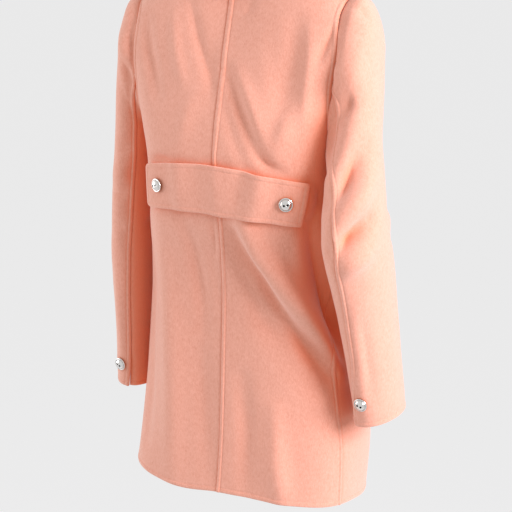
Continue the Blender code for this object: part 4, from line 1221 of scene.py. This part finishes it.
def fill(tree, node, **inputs):
    """Set or link a node's inputs; an underscore stands for the space in an input's name."""
    for word, value in inputs.items():
        socket = node.inputs[word.replace("_", " ")]
        if isinstance(value, bpy.types.NodeSocket):
            tree.links.new(value, socket)
        else:
            socket.default_value = value
    return node


def add(tree, kind, **inputs):
    return fill(tree, tree.nodes.new("ShaderNode" + kind), **inputs)


def weighted(tree, *parts):
    """The sum of some outputs, each times its weight."""
    total = 0.0
    for output, weight in parts:
        node = add(tree, "Math")
        node.operation = "MULTIPLY_ADD"
        for socket, value in zip(node.inputs, (output, weight, total)):
            if isinstance(value, float):
                socket.default_value = value
            else:
                tree.links.new(value, socket)
        total = node.outputs[0]
    return total


def blend(tree, factor, low, high):
    """From one colour where the factor is 0 to the other where it is 1."""
    node = add(tree, "Mix")
    node.data_type = "RGBA"
    return fill(tree, node, Factor=factor, A=low, B=high).outputs["Result"]


def painted_shade_openness(tree, reach, low, high):
    """0 in a hollow and 1 in the open, as far as this reach: the mask for painted shade in hollows."""
    hollow = add(tree, "AmbientOcclusion", Distance=reach)
    hollow.samples = 6
    shown = add(tree, "MapRange", Value=hollow.outputs["AO"], From_Min=low, From_Max=high)
    return shown.outputs["Result"]


def new_material(name, colour):
    """A material with its node tree, its shader and the object's own coordinates."""
    material = bpy.data.materials.new(name)
    material.use_nodes = True
    material.diffuse_color = colour
    tree = material.node_tree
    return material, tree, tree.nodes["Principled BSDF"], add(tree, "TexCoord").outputs["Object"]


def wool_material(name, tint):
    """Felted wool: soft mottle, fine nap and short strokes, with painted shade (a deeper orange) blended in
    at hollows and creases.
    """
    material, tree, shader, where = new_material(name, WOOL_MID)
    leaning = add(
        tree, "Mapping", Vector=where, Rotation=(0.0, math.radians(38), 0.0), Scale=(1.0, 1.0, 0.36)
    ).outputs["Vector"]
    mottle, nap, fuzz = (
        add(tree, "TexNoise", Vector=place, Scale=scale, Detail=detail, Roughness=rough).outputs["Fac"]
        for place, scale, detail, rough in (
            (where, 190.0, 2.0, 0.5), (leaning, 620.0, 3.0, 0.65), (where, 1500.0, 2.0, 0.6),
        )
    )
    ramp = add(tree, "ValToRGB", Fac=weighted(tree, (mottle, 0.2), (nap, 0.5), (fuzz, 0.3)))
    stops = ramp.color_ramp.elements
    stops[0].position, stops[1].position = 0.28, 0.72
    stops.new(0.5)
    for stop, colour in zip(stops, (WOOL_DARK, WOOL_MID, WOOL_LIGHT)):
        # The tint scales the ramp's colours; the under sleeve's tint is painted shade
        stop.color = [c * t for c, t in zip(colour, (*tint, 1.0))]
    height = weighted(tree, (nap, 0.6), (fuzz, 0.4))
    bump = add(tree, "Bump", Strength=0.55, Distance=0.0014, Height=height)
    fill(
        tree, shader, Roughness=0.95, Specular_IOR_Level=0.15, Normal=bump.outputs["Normal"],
        Sheen_Weight=0.6, Sheen_Roughness=0.55, Sheen_Tint=(1.0, 0.88, 0.82, 1.0),
        # Painted shade: the base colour turns to the deep orange shade colour where ambient occlusion finds a
        # hollow within 10 cm
        Base_Color=blend(tree, painted_shade_openness(tree, 0.1, 0.3, 0.88), WOOL_PAINTED_SHADE, ramp.outputs["Color"]),
    )
    return material


def metal_material(name, colour, rough):
    """Polished metal with faint wear in its roughness, and painted shade darkening its grooves and hollows.
    """
    material, tree, shader, where = new_material(name, (*colour, 1.0))
    grain = add(tree, "TexNoise", Vector=where, Scale=420.0, Detail=4.0).outputs["Fac"]
    wear = add(
        tree, "MapRange", Value=grain, From_Min=0.3, From_Max=0.7, To_Min=rough * 0.8,
        To_Max=rough * 1.3,
    )
    # Painted shade: the colour falls to near black where ambient occlusion finds a groove within 5 mm
    painted_groove_shade = (colour[0] * 0.12, colour[1] * 0.1, colour[2] * 0.09, 1.0)
    fill(
        tree, shader, Metallic=1.0, Roughness=wear.outputs["Result"],
        Base_Color=blend(tree, painted_shade_openness(tree, 0.005, 0.45, 0.97), painted_groove_shade, (*colour, 1.0)),
    )
    return material


def look_along(item, place, back):
    """Stand a lamp or camera at a place, with this direction behind it."""
    back = back / np.linalg.norm(back)
    side = np.cross((0, 0, 1), back)
    side /= np.linalg.norm(side)
    stand_at(item, side, np.cross(back, side), back, place)


def floor_and_light():
    data = bpy.data.meshes.new("floor")
    corners = [(x * FLOOR_SIZE, y * FLOOR_SIZE, FLOOR_LEVEL) for x, y in ((-1, -1), (1, -1), (1, 1), (-1, 1))]
    data.from_pydata(corners, [], [(0, 1, 2, 3)])
    floor = new_object("floor", data)
    paper = bpy.data.materials.new("floor_paper")
    paper.use_nodes = True
    tree = paper.node_tree
    fill(
        tree, tree.nodes["Principled BSDF"], Base_Color=FLOOR_COLOUR, Roughness=1.0,
        Specular_IOR_Level=0.0,
    )
    data.materials.append(paper)
    world = bpy.data.worlds.new("studio")
    bpy.context.scene.world = world
    world.use_nodes = True
    tree = world.node_tree
    fill(tree, tree.nodes["Background"], Color=WORLD_COLOUR, Strength=WORLD_STRENGTH)
    for name, place, size, power, colour in LIGHTS:
        light = bpy.data.lights.new(name, "AREA")
        light.size = size
        light.energy = power
        light.color = colour
        lamp = new_object(name, light)
        look_along(lamp, place, np.array(place) - np.array(LIGHT_TARGET))


def camera():
    data = bpy.data.cameras.new("photo_camera")
    data.lens = CAMERA_LENS
    data.sensor_width = SENSOR
    data.clip_end = 600.0
    item = new_object("photo_camera", data)
    azimuth, elevation = math.radians(CAMERA_AZIMUTH), math.radians(CAMERA_ELEVATION)
    flat = math.cos(elevation)
    back = (math.sin(azimuth) * flat, -math.cos(azimuth) * flat, math.sin(elevation))
    look_along(item, CAMERA_PLACE, np.array(back))
    bpy.context.scene.camera = item


def sew(wool, shaded_under_wool):
    """Sews all pieces of cloth; each one's flat sheet is looked up, and nothing more is done with it."""
    sheets = [back_cloth("left", 1, wool), back_cloth("right", -1, wool)]
    sheets += [front_cloth("left", 1, False, wool), front_cloth("right", -1, True, wool)]
    sheets += [collar_cloth(wool), belt_cloth(wool)]
    for word, side, table in (("left", 1, LEFT_SLEEVE), ("right", -1, RIGHT_SLEEVE)):
        sheets.append(sleeve_cloth(word, side, table, True, wool))
        sheets.append(sleeve_cloth(word, side, table, False, shaded_under_wool))
    for piece, area in sheets:
        flat, rests = SHEETS[piece.name.removesuffix("_cloth")]
        area = min(area, flat[0] * flat[1])


def fold_at(point, level):
    """Height of the body's folds at one point."""
    return float(body_relief(point[None, None], level)[0, 0])


def belt_buttons(button):
    for word, angle in BELT_BUTTON_ANGLES.items():
        level = belt_middle(angle)
        point, normal, down = body_frame(angle, level)
        lift = BELT_FACE + fold_at(point, level) * 0.6 + float(belt_end_rise(angle)) - 0.0002
        seated(button, "belt_button_" + word, point, normal, down, lift, 12.0)


def cuff_buttons(button):
    for word, side, table, column, row in CUFF_BUTTONS:
        sleeve = Sleeve(side, table)
        column, run = np.array([column]), np.array([sleeve.metres(row)])
        point, normal, down = sleeve.frame(column, run)
        lift = float(sleeve_relief(sleeve, word, point[None], column)[0, 0]) + 0.0004
        seated(button, "cuff_button_" + word, point[0], normal[0], down[0], lift, -20.0)


def front_buttons(button):
    for word, angle in (("left", 180 - FRONT_BUTTON_ANGLE), ("right", FRONT_BUTTON_ANGLE - 180)):
        for number, level in enumerate(FRONT_BUTTON_LEVELS, 1):
            point, normal, down = body_frame(angle, level)
            lift = LAP_RISE + 0.0002 + fold_at(point, level)
            node = "front_button_" + word + "_" + str(number)
            seated(button, node, point, normal, down, lift, 8.0 * number)


def main():
    wool = wool_material("wool_cloth", (1.0, 1.0, 1.0))
    # The under sleeves get a darker, more saturated tinted copy of the wool: painted shade for the sleeve's
    # side turned from the light
    shaded_under_wool = wool_material("wool_cloth_under", (0.985, 0.97, 0.95))
    metal = metal_material("polished_metal", (0.74, 0.72, 0.7), 0.16)
    # The holes get a near-black metal: painted shade inside them
    painted_hole_shade = metal_material("hole_metal_painted_shade", (0.05, 0.045, 0.04), 0.5)
    sew(wool, shaded_under_wool)
    button = button_mesh(metal, painted_hole_shade)
    belt_buttons(button)
    cuff_buttons(button)
    front_buttons(button)
    floor_and_light()
    camera()
    bpy.context.scene.view_settings.view_transform = "Standard"


main()
